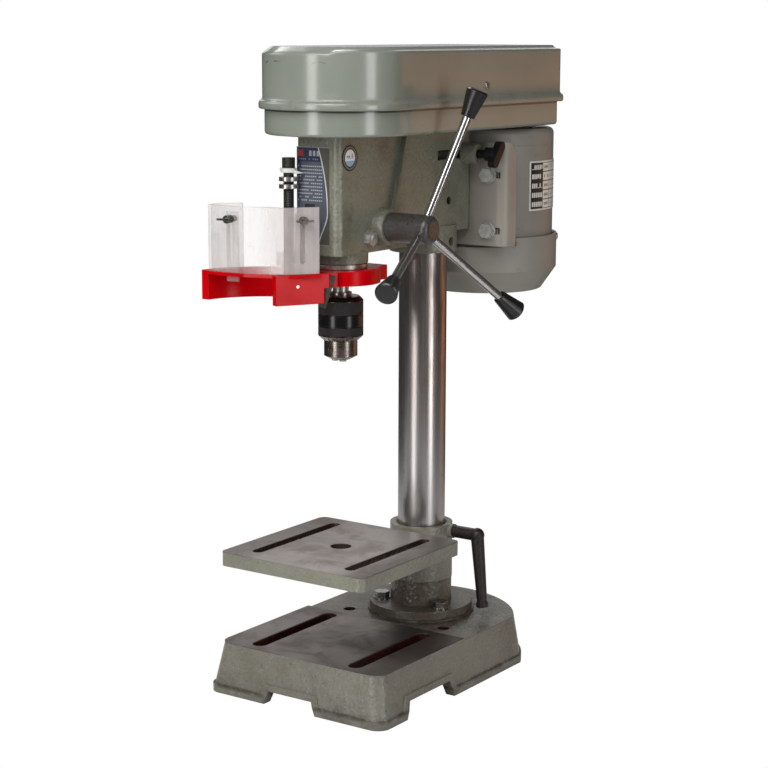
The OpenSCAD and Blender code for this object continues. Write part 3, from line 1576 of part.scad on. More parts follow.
// panel that carries each wing screw, and how far along it
screw_places = [[3, 13.9], [5, 17]];
upright_w = 12;
upright_t = 2;
upright_gap = 0.3;
upright_deep = 8;

module upright_cut(i, along, grow) {
  face = shield_t / 2 + upright_gap;
  half = upright_w / 2;
  on_panel(i, along) block([-half - grow, face - grow, frame_high - upright_deep],
    [half + grow, face + upright_t + grow, wing_z + half]);
}

module guard_frame() {
  ear_half = 22;
  ear_back = 42;
  ear_gap = 3;
  lug_w = 6;
  ring_room = 12;
  shelf_t = 3;
  shelf_w = 7;
  arc_front_share = 0.12;
  arc_side_share = 0.53;
  shelf_share = 0.985;
  color(red_c) difference() {
    translate(spindle_axis) {
      ring_at(quill_neck_bottom, frame_high, ring_r, quill_neck_r + hair);
      difference() {
        block([-ear_half, ring_r * lug_share, quill_neck_bottom], [ear_half, ear_back, frame_high]);
        up(frame_low) cylinder(r = quill_neck_r + hair, h = frame_high);
        block([-ear_gap / 2, 0, frame_low], [ear_gap / 2, ear_back * 2, frame_high + lip]);
      }
      difference() {
        up(frame_low) linear_extrude(frame_high - frame_low) {
          difference() {
            translate(arc_c) circle(r = arc_r + frame_t, $fn = 96);
            translate(arc_c) circle(r = arc_r, $fn = 96);
            translate([-arc_r * 3, arc_c[1] + arc_r * arc_front_share - arc_r * 3])
              square([arc_r * 6, arc_r * 3]);
            translate([arc_c[0] + arc_r * arc_side_share, -arc_r * 2]) square([arc_r, arc_r * 4]);
          }
          wall_path(side_wall, frame_t);
          wall_path(end_lug, lug_w);
        }
        up(frame_low - lip) cylinder(r = quill_neck_r + hair, h = frame_high);
        up(frame_low - lip)
          cylinder(r = ring_r + ring_room, h = quill_neck_bottom - frame_low + lip);
      }
      // shelf that the front of the shield stands on
      up(frame_high - shelf_t) linear_extrude(shelf_t) difference() {
        wall_path([for (p = shield_pts) p * shelf_share], shelf_w);
        circle(r = quill_neck_r + lip / 2);
      }
    }
    for (q = screw_places) upright_cut(q[0], q[1], fit_gap);
    guard_clip();
  }
}

// middle of the clip, its lean and turn in degrees, and its size
clip_at = [15.5, -42, frame_low + 10.5];
clip_lean = 18;
clip_turn = 36;
clip_w = 7;
clip_h = 30;

module guard_clip() {
  color(steel_c) translate(spindle_axis) translate(clip_at) rotate([0, clip_lean, clip_turn])
    cube([clip_w, thin, clip_h], center = true);
}

module guard_shield() {
  color(clear_c) difference() {
    translate(spindle_axis) up(frame_high + pass_gap) linear_extrude(shield_h)
      wall_path(shield_pts, shield_t);
    for (q = screw_places) on_panel(q[0], q[1]) {
      block([-wing_r - pass_gap, -lip * 2, wing_z - shield_travel],
        [wing_r + pass_gap, lip * 2, wing_z]);
      for (z = [wing_z, wing_z - shield_travel]) up(z)
        rod_y_to(-lip * 2, lip * 2, wing_r + pass_gap);
    }
  }
}

module guard_uprights() {
  color(clear_c) difference() {
    union() {
      for (q = screw_places) upright_cut(q[0], q[1], 0);
    }
    for (q = screw_places) on_panel(q[0], q[1]) up(wing_z) rod_y_to(-lip, lip * 3, wing_r);
  }
}

module guard_wing_screws() {
  hub = 3.6;
  wing_t = 1.6;
  wing_w = 15;
  wing_deep = 5;
  screw_out = 10;
  nut_t = 2.4;
  back = shield_t / 2 + upright_gap + upright_t;
  for (q = screw_places) color(chrome_c) on_panel(q[0], q[1]) up(wing_z) {
    rod_y_to(-screw_out, back + lip, wing_r);
    rod_y_to(lip - screw_out, -shield_t / 2 - pass_gap, hub);
    block([-wing_w / 2, -screw_out - wing_deep * 0.3, -wing_t / 2],
      [wing_w / 2, -screw_out + wing_deep * 0.7, wing_t / 2]);
    translate([0, back, 0]) rod_y_to(0, nut_t, hub - wing_t / 2);
  }
}

base();
column_flange();
flange_bolts();
column();
table_bracket();
table_clamp_lever();
table();
tilt_bolt();
head_casting();
head_set_screws();
quill();
quill_bearings();
spindle();
stop_arm();
depth_stop_rod();
depth_stop_nuts();
depth_pointer();
quill_lock_screw();
feed_shaft();
feed_hub();
feed_arms();
feed_knobs();
return_spring();
spring_cap();
chuck_body();
chuck_sleeve();
chuck_jaw_1();
chuck_jaw_2();
chuck_jaw_3();
belt_tray();
belt_lid();
lid_screw();
tray_fixings();
spindle_pulley();
pulley_bearings();
motor_pulley();
drive_belt();
motor_can();
motor_stator();
motor_end_plate();
motor_fan_cover();
motor_shaft();
motor_fan();
motor_screws();
motor_cradle();
cradle_bolts();
slide_rods();
slide_lock_knob();
capacitor_box();
data_plate();
front_plates();
switch_box();
start_button();
stop_button();
cable_gland();
guard_frame();
guard_clip();
guard_shield();
guard_uprights();
guard_wing_screws();
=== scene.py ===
import json
import math

import bmesh
import bpy
from mathutils import Matrix, Vector

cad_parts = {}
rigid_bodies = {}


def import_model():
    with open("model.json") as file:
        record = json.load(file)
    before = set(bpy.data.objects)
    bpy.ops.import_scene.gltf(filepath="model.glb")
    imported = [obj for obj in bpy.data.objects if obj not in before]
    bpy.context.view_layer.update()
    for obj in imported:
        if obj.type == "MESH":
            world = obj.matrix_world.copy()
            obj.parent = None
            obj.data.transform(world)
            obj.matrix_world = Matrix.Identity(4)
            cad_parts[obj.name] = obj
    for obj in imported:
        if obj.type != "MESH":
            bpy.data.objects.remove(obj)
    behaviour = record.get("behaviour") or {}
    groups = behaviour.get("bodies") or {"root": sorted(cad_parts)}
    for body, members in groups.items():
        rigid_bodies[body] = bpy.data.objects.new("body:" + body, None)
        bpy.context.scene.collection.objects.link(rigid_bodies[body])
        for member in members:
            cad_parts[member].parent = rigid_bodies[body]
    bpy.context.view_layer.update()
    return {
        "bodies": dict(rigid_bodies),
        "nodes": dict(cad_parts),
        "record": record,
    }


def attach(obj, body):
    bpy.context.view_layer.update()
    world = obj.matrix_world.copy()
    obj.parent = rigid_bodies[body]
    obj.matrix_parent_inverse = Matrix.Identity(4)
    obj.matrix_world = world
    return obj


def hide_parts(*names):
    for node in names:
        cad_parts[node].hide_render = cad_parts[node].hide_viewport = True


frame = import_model()
nodes = frame["nodes"]
scene = bpy.context.scene

# axes and radii of the CAD model that paints and pieces here line up with, in metres
SPINDLE_Y = -0.1344
MOTOR_Y = 0.110
STOP_ROD_X, STOP_ROD_Y = -0.024, -0.1794
CHUCK_R = 0.0205
PLATE_R = 0.0686

# the bright end of the guard's screw, and the softness of a printed edge
SCREW_END = (0.0027, -0.2017, 0.3866)
PRINT_EDGE = 0.0001


# short calls that add nodes to one tree

def lin(r, g, b):
    """A colour read from a screen, as the linear colour a shader takes."""
    def one(v):
        v /= 255
        return v / 12.92 if v <= 0.04045 else ((v + 0.055) / 1.055) ** 2.4
    return (one(r), one(g), one(b), 1.0)


class Tree:
    def __init__(self, tree):
        self.tree = tree
        self.coord = None
        self.parts = None

    def node(self, kind, inputs=None, **props):
        n = self.tree.nodes.new(kind)
        for key, value in props.items():
            setattr(n, key, value)
        for key, value in (inputs or {}).items():
            if isinstance(value, bpy.types.NodeSocket):
                self.tree.links.new(value, n.inputs[key])
            else:
                n.inputs[key].default_value = value
        return n

    def place(self):
        if self.coord is None:
            self.coord = self.node("ShaderNodeTexCoord").outputs["Object"]
        return self.coord

    def xyz(self):
        if self.parts is None:
            n = self.node("ShaderNodeSeparateXYZ", {0: self.place()})
            self.parts = (n.outputs[0], n.outputs[1], n.outputs[2])
        return self.parts

    def stretch(self, x, y, z, turn=0.0):
        n = self.node("ShaderNodeMapping", {0: self.place()})
        n.inputs["Scale"].default_value = (x, y, z)
        n.inputs["Rotation"].default_value = (0, 0, turn)
        return n.outputs[0]

    def noise(self, scale, detail=3.0, rough=0.5, vector=None, distortion=0.0):
        n = self.node("ShaderNodeTexNoise", {
            "Vector": vector if vector is not None else self.place(), "Scale": scale,
            "Detail": detail, "Roughness": rough, "Distortion": distortion})
        return n.outputs["Fac"]

    def cells(self, scale):
        """Soft round lumps."""
        n = self.node("ShaderNodeTexVoronoi", {
            "Vector": self.place(), "Scale": scale, "Smoothness": 0.6}, feature="SMOOTH_F1")
        return n.outputs["Distance"]

    def math(self, operation, a, b=0.0):
        return self.node("ShaderNodeMath", {0: a, 1: b}, operation=operation).outputs[0]

    def mul(self, a, b):
        return self.math("MULTIPLY", a, b)

    def add(self, a, b):
        return self.math("ADD", a, b)

    def sub(self, a, b):
        return self.math("SUBTRACT", a, b)

    def larger(self, a, b):
        return self.math("MAXIMUM", a, b)

    def length(self, a, b):
        return self.math("SQRT", self.add(self.mul(a, a), self.mul(b, b)))

    def steps(self, value, low, high, a=0.0, b=1.0):
        """value carried from the range low..high to a..b, clamped."""
        n = self.node("ShaderNodeMapRange", {
            "Value": value, "From Min": low, "From Max": high, "To Min": a, "To Max": b},
            interpolation_type="SMOOTHSTEP")
        return n.outputs[0]

    def band(self, value, low, high, soft):
        """1 between low and high, 0 outside, with soft edges."""
        up = self.steps(value, low - soft, low + soft)
        down = self.steps(value, high - soft, high + soft, 1.0, 0.0)
        return self.mul(up, down)

    def mix(self, fac, a, b):
        """Colour a carried to colour b."""
        return self.node("ShaderNodeMix", {0: fac, 6: a, 7: b}, data_type="RGBA").outputs[2]

    def blend(self, fac, a, b):
        """Value a carried to value b."""
        return self.node("ShaderNodeMix", {0: fac, 2: a, 3: b}, data_type="FLOAT").outputs[0]

    def tones(self, value, a, b, low=0.3, high=0.7):
        """Tone a carried to tone b as value goes from low to high."""
        return self.mix(self.steps(value, low, high), lin(*a), lin(*b))

    def stain(self, colour, mask, share, tone):
        """colour with a share of another tone where the mask is 1."""
        return self.mix(self.mul(mask, share), colour, lin(*tone))

    def normal(self, height, strength, distance, under=None):
        inputs = {"Height": height, "Strength": strength, "Distance": distance}
        if under is not None:
            inputs["Normal"] = under
        return self.node("ShaderNodeBump", inputs).outputs[0]

    def rounded(self, radius):
        return self.node("ShaderNodeBevel", {"Radius": radius}, samples=4).outputs[0]

    def edge(self, radius, low, high):
        """1 along sharp edges, from how far a rounded normal leaves the face's own."""
        own = self.node("ShaderNodeNewGeometry").outputs["Normal"]
        soft = self.rounded(radius)
        dot = self.node("ShaderNodeVectorMath", {0: own, 1: soft}, operation="DOT_PRODUCT")
        return self.steps(self.sub(1.0, dot.outputs["Value"]), low, high)

    def for_camera(self, others, camera, out):
        """One shader for what the camera sees straight, the other for all other light."""
        ray = self.node("ShaderNodeLightPath")
        pick = self.node("ShaderNodeMixShader", {0: ray.outputs["Is Camera Ray"],
            1: others.outputs[0], 2: camera.outputs[0]})
        self.tree.links.new(pick.outputs[0], out.inputs[0])


def material(name, **fixed):
    """A new material with one shader, whose inputs take the fixed values."""
    mat = bpy.data.materials.new(name)
    mat.use_nodes = True
    t = Tree(mat.node_tree)
    t.tree.nodes.clear()
    out = t.node("ShaderNodeOutputMaterial")
    shader = t.node("ShaderNodeBsdfPrincipled")
    t.tree.links.new(shader.outputs[0], out.inputs[0])
    for key, value in fixed.items():
        shader.inputs[key.replace("_", " ")].default_value = value
    return mat, t, shader


def wire(t, shader, **links):
    """Links or sets inputs of the shader, named with _ for a blank."""
    for key, value in links.items():
        socket = shader.inputs[key.replace("_", " ")]
        if isinstance(value, bpy.types.NodeSocket):
            t.tree.links.new(value, socket)
        else:
            socket.default_value = value


# paints

def cast_paint(t, light, dark):
    """Grey-green paint over a sand casting: colour, roughness and height."""
    cloud = t.noise(14, 4, 0.6)
    colour = t.mix(t.steps(cloud, 0.3, 0.7), dark, light)
    speck = t.steps(t.noise(520, 2, 0.6), 0.56, 0.72)
    colour = t.stain(colour, speck, 0.5, (58, 54, 46))
    pale = t.steps(t.noise(460, 2, 0.55, vector=t.stretch(1.1, 0.9, 1.0, 0.7)), 0.6, 0.74)
    colour = t.stain(colour, pale, 0.3, (168, 166, 156))
    rub = t.steps(t.noise(34, 5, 0.65), 0.52, 0.7)
    colour = t.stain(colour, rub, 0.35, (92, 80, 68))
    grime = t.steps(t.noise(19, 6, 0.68, distortion=0.4), 0.54, 0.68)
    colour = t.stain(colour, grime, 0.3, (66, 62, 52))
    rough = t.blend(t.steps(cloud, 0.3, 0.7), 0.28, 0.4)
    height = t.add(t.mul(t.cells(300), 0.9), t.mul(t.noise(190, 3, 0.6), 0.8))
    return colour, rough, height


def chips(t, colour, rough, bare, radius=0.0011, amount=0.5):
    """Worn paint along the edges, broken up so that it's never a clean line."""
    edge = t.edge(radius, 0.03, 0.3)
    gaps = t.steps(t.noise(95, 4, 0.7), 0.62 - 0.25 * amount, 0.72 - 0.25 * amount)
    worn = t.mul(edge, gaps)
    return t.mix(worn, colour, bare), t.blend(worn, rough, 0.42)


def casting_paint(name, top=None, light=(122, 123, 109), dark=(106, 107, 93)):
    """Painted casting; top, where given, adds what its upper faces show."""
    mat, t, shader = material(name, Specular_IOR_Level=0.5)
    colour, rough, height = cast_paint(t, lin(*light), lin(*dark))
    colour, rough = chips(t, colour, rough, lin(112, 104, 94))
    metal = 0.0
    if top:
        colour, rough, height, metal = top(t, colour, rough, height)
    wire(t, shader, Base_Color=colour, Roughness=rough, Metallic=metal,
        Normal=t.normal(height, 0.7, 0.0008, t.rounded(0.0012)))
    return mat


def machined(t, tint, low, high, oil):
    """Ground iron gone dark and brown with oil: colour, roughness, height."""
    swirl = t.noise(9, 4, 0.6, distortion=0.8)
    stain = t.noise(26, 5, 0.62, distortion=0.5)
    lines = t.noise(420, 2, 0.5, vector=t.stretch(0.12, 1.0, 1.0))
    colour = t.tones(swirl, low, high, 0.32, 0.68)
    colour = t.stain(colour, t.steps(stain, 0.45, 0.7), tint, oil)
    colour = t.stain(colour, lines, 0.18, (180, 172, 166))
    rough = t.add(t.blend(t.steps(stain, 0.4, 0.7), 0.36, 0.5), t.mul(lines, 0.06))
    return colour, rough, t.mul(lines, 0.25)


def round_spot(t, x, y, cx, cy, r, soft=0.0004):
    """1 within r of an upright axis."""
    return t.steps(t.length(t.sub(x, cx), t.sub(y, cy)), r - soft, r + soft, 1.0, 0.0)


def base_top(t, colour, rough, height):
    """The base: ground work face with painted shadow of the table on it, primer in its slots,
    grease round the flange, darker low down.
    """
    x, y, z = t.xyz()
    ax = t.math("ABSOLUTE", x)
    over_work, over_deck = (0.04655, 0.04685), (0.044, 0.0451)
    slot_x, slot_y, slot_z = (0.0466, 0.0624), (-0.1950, -0.0700), (0.012, 0.0464)
    bolt_x, bolt_y, bolt_r, bolt_z = 0.055, -0.044, 0.0061, (0.01, 0.0450)
    mask = t.mul(t.steps(z, *over_work), t.steps(y, -0.0635, -0.0645))
    # the work face is a darker copy of the table's ground iron: painted shadow of the table
    mc, mr, mh = machined(t, 0.75, (84, 76, 72), (116, 107, 101), (58, 46, 40))
    # painted shadow darkening the work face toward +X and toward the back
    painted_shadow = t.mul(t.steps(t.add(x, t.mul(t.noise(24, 4, 0.6), 0.05)), 0.028, 0.062),
        t.steps(y, -0.18, -0.12))
    mc = t.stain(mc, painted_shadow, 0.75, (44, 34, 29))
    # red primer left in the slots and bolt holes
    wall = t.mul(t.band(y, *slot_y, 0.0003), t.band(ax, *slot_x, 0.0003))
    bolt = round_spot(t, ax, y, bolt_x, bolt_y, bolt_r, 0.0002)
    deep = t.larger(t.mul(wall, t.band(z, *slot_z, 0.0003)),
        t.mul(bolt, t.band(z, *bolt_z, 0.0002)))
    primer = t.tones(t.noise(60, 4, 0.6), (64, 22, 18), (42, 20, 17))
    colour = t.mix(deep, colour, primer)
    # grease and rust that ran out round the flange
    far = t.length(x, y)
    break_up = t.steps(t.noise(46, 5, 0.7), 0.4, 0.62)
    ring = t.mul(t.steps(far, 0.052, 0.066, 1.0, 0.0), t.steps(t.noise(60, 4, 0.7), 0.3, 0.55))
    spill = t.mul(t.band(far, 0.05, 0.078, 0.012), break_up)
    dirt = t.mul(t.larger(ring, spill), t.steps(z, *over_deck))
    colour = t.stain(colour, dirt, 0.8, (48, 34, 28))
    mc = t.stain(mc, dirt, 0.7, (50, 38, 32))
    # darker in the groove over the foot bead and low on the walls, rust round the bolt holes
    seam = t.mul(t.band(z, 0.0052, 0.0092, 0.0012), t.steps(t.noise(70, 4, 0.7), 0.32, 0.6))
    low = t.mul(t.steps(z, 0.03, 0.004), t.steps(t.noise(40, 5, 0.7), 0.45, 0.65))
    colour = t.mix(t.larger(t.mul(seam, 0.75), t.mul(low, 0.45)), colour, lin(48, 44, 36))
    rust = t.mul(round_spot(t, ax, y, bolt_x, bolt_y, 0.013, 0.003),
        t.steps(t.noise(90, 4, 0.7), 0.45, 0.6))
    colour = t.mix(t.mul(t.mul(rust, 0.6), t.steps(z, *over_deck)), colour, lin(96, 48, 38))
    return (t.mix(mask, colour, mc), t.blend(mask, rough, mr), t.blend(mask, height, mh),
        t.mul(mask, 0.55))


def table_top(t, colour, rough, height):
    """The table: ground work face, darker to the sides, brown in the slots and the hole."""
    x, y, z = t.xyz()
    ax = t.math("ABSOLUTE", x)
    slot_x, slot_y, hole_r = (0.0462, 0.0578), (-0.1973, -0.0677), 0.0103
    mask = t.steps(z, 0.13715, 0.13735)
    mc, mr, mh = machined(t, 0.65, (112, 106, 102), (146, 138, 133), (84, 68, 60))
    side = t.steps(t.add(ax, t.mul(t.noise(22, 4, 0.6), 0.03)), 0.05, 0.085)
    mc = t.stain(mc, side, 0.6, (74, 66, 60))
    slot = t.mul(t.band(ax, *slot_x, 0.0003), t.band(y, *slot_y, 0.0004))
    hole = round_spot(t, x, y, 0.0, SPINDLE_Y, hole_r)
    deep = t.mul(t.larger(slot, hole), t.steps(z, 0.1370, 0.1373, 1.0, 0.0))
    colour = t.mix(deep, colour, lin(50, 34, 29))
    return (t.mix(mask, colour, mc), t.blend(mask, rough, mr), t.blend(mask, height, mh),
        t.mul(mask, 0.5))


def lid_scratches(t, x, y, z):
    """Three short scrapes through the paint high on the lid's round front."""
    front = t.steps(y, -0.15, -0.16)
    rising = t.sub(z, t.mul(t.add(x, 0.0381), 0.43))
    one = t.mul(t.band(x, -0.0385, -0.0335, 0.0003), t.band(rising, 0.5786, 0.5796, 0.0002))
    two = t.mul(t.band(x, -0.0245, -0.0150, 0.0004), t.band(z, 0.5806, 0.5814, 0.0002))
    bow = t.math("DIVIDE", t.sub(x, 0.0243), 0.006)
    bowed = t.add(z, t.mul(t.mul(bow, bow), 0.0019))
    three = t.mul(t.band(x, 0.0180, 0.0302, 0.0003), t.band(bowed, 0.5804, 0.5810, 0.0002))
    broken = t.steps(t.noise(420, 3, 0.6), 0.36, 0.52)
    scrapes = t.larger(t.larger(one, two), t.mul(three, 0.55))
    return t.mul(t.mul(front, broken), scrapes)


def cover_paint():
    """Smooth gloss paint of the lid and tray."""
    mat, t, shader = material("cover_paint", Specular_IOR_Level=0.5, Coat_Weight=0.35,
        Coat_Roughness=0.12)
    x, y, z = t.xyz()
    right_wall, over_bead, bead_shadow_band = (0.0672, 0.0690), (0.5395, 0.55), (0.5374, 0.5394)
    colour = t.tones(t.noise(11, 3, 0.5), (122, 127, 117), (130, 134, 124))
    colour = t.stain(colour, t.steps(t.noise(60, 6, 0.7), 0.6, 0.74), 0.05, (96, 90, 80))
    # a painted brown reflection on the right wall, dust and rubbed spots toward the bead, painted
    # shadow as a dark line under the bead
    # painted reflection: brown along the right wall
    film = t.mul(t.steps(x, *right_wall), t.steps(t.noise(9, 4, 0.6), 0.25, 0.6, 0.35, 0.7))
    colour = t.stain(colour, film, 0.45, (112, 98, 84))
    dust = t.mul(t.band(z, *over_bead, 0.003), t.steps(t.noise(80, 5, 0.7), 0.5, 0.7))
    colour = t.stain(colour, dust, 0.35, (96, 92, 82))
    # painted shadow: a dark line under the bead
    colour = t.stain(colour, t.band(z, *bead_shadow_band, 0.0003), 0.85, (52, 50, 42))
    colour = t.stain(colour, lid_scratches(t, x, y, z), 0.9, (54, 50, 38))
    rough = t.blend(t.steps(t.noise(18, 2, 0.5), 0.3, 0.7), 0.2, 0.26)
    scratch = t.steps(t.noise(60, 2, 0.5, vector=t.stretch(0.3, 0.3, 3.5)), 0.72, 0.78)
    height = t.add(t.mul(t.noise(22, 2, 0.5), 0.5), t.mul(t.noise(160, 2, 0.5), 0.05))
    height = t.sub(height, t.mul(scratch, 0.1))
    colour, rough = chips(t, colour, rough, lin(86, 78, 70), 0.0008, 0.1)
    wire(t, shader, Base_Color=colour, Roughness=rough,
        Normal=t.normal(height, 0.25, 0.0012, t.rounded(0.0009)))
    return mat


def motor_paint(name, light, dark):
    """Dull paint of the motor and its cradle."""
    mat, t, shader = material(name, Specular_IOR_Level=0.5)
    cloud = t.noise(12, 3, 0.55)
    colour = t.tones(cloud, dark, light)
    colour = t.stain(colour, t.steps(t.noise(70, 5, 0.7), 0.6, 0.72), 0.3, (84, 76, 68))
    rough = t.blend(cloud, 0.4, 0.5)
    height = t.add(t.mul(t.noise(600, 2, 0.5), 0.3), t.mul(t.noise(30, 2, 0.5), 0.5))
    colour, rough = chips(t, colour, rough, lin(120, 116, 110), 0.0008, 0.2)
    wire(t, shader, Base_Color=colour, Roughness=rough,
        Normal=t.normal(height, 0.25, 0.0005, t.rounded(0.0009)))
    return mat


# metals

def steel(name, colour, tone, rough, streak=(1, 1, 1), scale=300, bump=0.1, stain=0.0,
        stained=(110, 84, 64), radius=0.0004, metallic=1.0):
    """Metal between two tones along fine lines, with brown stains where asked for."""
    mat, t, shader = material(name, Metallic=metallic)
    lines = t.noise(scale, 3, 0.55, vector=t.stretch(*streak))
    cloud = t.noise(22, 3, 0.6)
    base = t.tones(lines, tone, colour)
    if stain:
        spots = t.steps(t.noise(16, 5, 0.62, vector=t.stretch(1, 1, 0.4)), 0.5, 0.72)
        base = t.stain(base, spots, stain, stained)
    r = t.add(t.mul(lines, 0.12), t.steps(cloud, 0.3, 0.7, rough - 0.08, rough + 0.06))
    wire(t, shader, Base_Color=base, Roughness=r,
        Normal=t.normal(lines, bump, 0.0003, t.rounded(radius)))
    return mat


def arm_chrome():
    """Bright plating with a faint haze and a few brown spots."""
    mat, t, shader = material("arm_chrome", Metallic=1.0)
    haze = t.noise(40, 3, 0.5)
    base = t.tones(haze, (216, 213, 211), (194, 190, 187))
    spots = t.steps(t.noise(150, 4, 0.65), 0.62, 0.72)
    base = t.stain(base, spots, 0.4, (120, 96, 80))
    wire(t, shader, Base_Color=base, Roughness=t.steps(haze, 0.3, 0.7, 0.17, 0.24),
        Normal=t.normal(haze, 0.02, 0.0002))
    return mat


def guard_plastic():
    """Red moulding with the small bright end of its screw on the right panel."""
    mat, t, shader = material("guard_red", Specular_IOR_Level=0.1)
    base = t.tones(t.noise(30, 4, 0.6), (188, 1, 10), (172, 1, 9), 0.35, 0.7)
    scuff = t.steps(t.noise(120, 5, 0.7, vector=t.stretch(1, 1, 0.5)), 0.62, 0.72)
    base = t.stain(base, scuff, 0.2, (196, 60, 56))
    far = t.node("ShaderNodeVectorMath", {0: t.place(), 1: SCREW_END}, operation="DISTANCE")
    end = t.steps(far.outputs["Value"], 0.0012, 0.0016, 1.0, 0.0)
    bright = t.tones(t.noise(500, 2, 0.5), (206, 190, 180), (236, 228, 220))
    height = t.add(t.noise(300, 2, 0.5), t.mul(end, 2.0))
    wire(t, shader, Base_Color=t.mix(end, base, bright), Metallic=t.mul(end, 0.4),
        Roughness=t.steps(t.noise(45, 4, 0.6), 0.3, 0.7, 0.15, 0.28),
        Normal=t.normal(height, 0.05, 0.0003, t.rounded(0.0007)))
    return mat


def column_steel():
    """Drawn tube: fine upright streaks, brown drips, and a paler tone low down."""
    mat, t, shader = material("column_steel", Metallic=1.0)
    z = t.xyz()[2]
    lines = t.noise(700, 3, 0.6, vector=t.stretch(1, 1, 0.01))
    wide = t.noise(110, 3, 0.55, vector=t.stretch(1, 1, 0.025))
    base = t.tones(lines, (138, 131, 128), (176, 169, 166))
    base = t.mix(t.steps(wide, 0.4, 0.65, 0.0, 0.3), base, lin(140, 130, 124))
    drip = t.steps(t.noise(34, 5, 0.62, vector=t.stretch(1, 1, 0.22)), 0.5, 0.68)
    base = t.stain(base, drip, 0.7, (104, 78, 64))
    base = t.mix(t.steps(z, 0.29, 0.17, 0.0, 0.7), base, lin(172, 171, 172))
    spots = t.steps(t.noise(70, 5, 0.7), 0.64, 0.74)
    base = t.stain(base, spots, 0.35, (92, 66, 54))
    r = t.add(t.steps(wide, 0.3, 0.7, 0.26, 0.32), t.mul(drip, 0.06))
    wire(t, shader, Base_Color=base, Roughness=r,
        Normal=t.normal(lines, 0.02, 0.0002, t.rounded(0.0004)))
    return mat


def turned(name, colour, tone, rough):
    """Steel with fine turning marks round an upright axis and a brown film in places."""
    mat, t, shader = material(name, Metallic=1.0)
    rings = t.noise(1500, 2, 0.5, vector=t.stretch(0.01, 0.01, 1))
    film = t.steps(t.noise(60, 5, 0.65), 0.5, 0.7)
    base = t.tones(rings, tone, colour)
    base = t.stain(base, film, 0.5, (104, 84, 68))
    r = t.steps(film, 0.0, 1.0, rough, rough + 0.12)
    wire(t, shader, Base_Color=base, Roughness=r,
        Normal=t.normal(rings, 0.12, 0.0002, t.rounded(0.0005)))
    return mat


def knurled():
    """Chuck sleeve: two knurled bands, a smooth one between, bright key teeth at the foot."""
    mat, t, shader = material("knurled_sleeve", Specular_IOR_Level=0.5)
    x, y, z = t.xyz()
    pitch = 0.0011
    low_band, high_band, teeth_top = (0.3368, 0.3438), (0.3556, 0.3672), (0.3356, 0.3353)
    along = t.mul(t.math("ARCTAN2", t.sub(y, SPINDLE_Y), x), CHUCK_R)

    def groove(way):
        """0 at the bottom of the grooves that run one way, 0.5 between them."""
        return t.math("ABSOLUTE", t.sub(t.math("FRACT", t.math("DIVIDE", way, pitch)), 0.5))

    diamond = t.mul(groove(t.add(along, z)), groove(t.sub(along, z)))
    rows = t.larger(t.band(z, *low_band, 0.0002), t.band(z, *high_band, 0.0002))
    teeth = t.steps(z, *teeth_top)
    base = t.tones(t.noise(90, 4, 0.6), (15, 15, 15), (24, 23, 22))
    base = t.mix(t.mul(rows, t.steps(diamond, 0.1, 0.2)), base, lin(74, 71, 68))
    bright = t.tones(t.noise(120, 4, 0.6), (120, 106, 92), (176, 168, 158), 0.35, 0.65)
    wire(t, shader, Base_Color=t.mix(teeth, base, bright), Metallic=t.larger(teeth, 0.35),
        Roughness=t.blend(rows, t.blend(teeth, 0.24, 0.32), 0.42),
        Normal=t.normal(t.mul(rows, diamond), 0.8, 0.0016, t.rounded(0.0006)))
    return mat


def plastic(name, colour, tone, rough, grain=500, bump=0.1, **fixed):
    """Moulded plastic or rubber between two tones."""
    mat, t, shader = material(name, **fixed)
    base = t.tones(t.noise(30, 4, 0.6), colour, tone, 0.35, 0.7)
    r = t.steps(t.noise(45, 4, 0.6), 0.3, 0.7, rough - 0.05, rough + 0.08)
    wire(t, shader, Base_Color=base, Roughness=r,
        Normal=t.normal(t.noise(grain, 2, 0.5), bump, 0.0003, t.rounded(0.0007)))
    return mat


def threaded(name, colour, tone, rough, pitch):
    """A rod with a thread of that pitch along Z, shown by its bump and its worn crests."""
    mat, t, shader = material(name, Metallic=0.7)
    x, y, z = t.xyz()
    turn = t.math("ARCTAN2", t.sub(y, STOP_ROD_Y), t.sub(x, STOP_ROD_X))
    turn = t.math("DIVIDE", turn, 2 * math.pi)
    saw = t.math("FRACT", t.add(t.math("DIVIDE", z, pitch), turn))
    crest = t.math("ABSOLUTE", t.sub(saw, 0.5))
    wire(t, shader, Base_Color=t.tones(crest, colour, tone, 0.1, 0.4),
        Roughness=t.steps(t.noise(60, 4, 0.6), 0.3, 0.7, rough - 0.05, rough + 0.1),
        Normal=t.normal(crest, 0.5, 0.0012))
    return mat


def clear_plastic():
    """Scuffed clear sheet: greyer at its edges, with painted reflection as extra haze on the
    panel toward +X.
    """
    mat, t, shader = material("clear_plastic", IOR=1.49)
    x = t.xyz()[0]
    haze = t.noise(20, 5, 0.62)
    lines = t.noise(60, 3, 0.6, vector=t.stretch(1, 1, 0.15))
    scuff = t.steps(t.noise(90, 5, 0.7), 0.55, 0.75)
    edge = t.edge(0.0012, 0.05, 0.3)
    veil = t.add(t.steps(lines, 0.35, 0.75, 0.16, 0.28), t.mul(scuff, 0.12))
    # painted reflection: more haze on the panel toward +X
    reflected_haze = t.steps(x, -0.032, -0.010)
    veil = t.add(veil, t.mul(reflected_haze, t.steps(lines, 0.35, 0.75, 0.3, 0.44)))
    film = t.mix(haze, lin(182, 172, 169), lin(208, 200, 197))
    wire(t, shader, Base_Color=t.stain(film, edge, 0.8, (104, 96, 94)),
        Roughness=t.steps(haze, 0.3, 0.7, 0.1, 0.22),
        Alpha=t.add(veil, t.mul(edge, 0.3)),
        Normal=t.normal(haze, 0.1, 0.0004, t.rounded(0.0006)))
    return mat


# plates, with plain marks in place of any wording

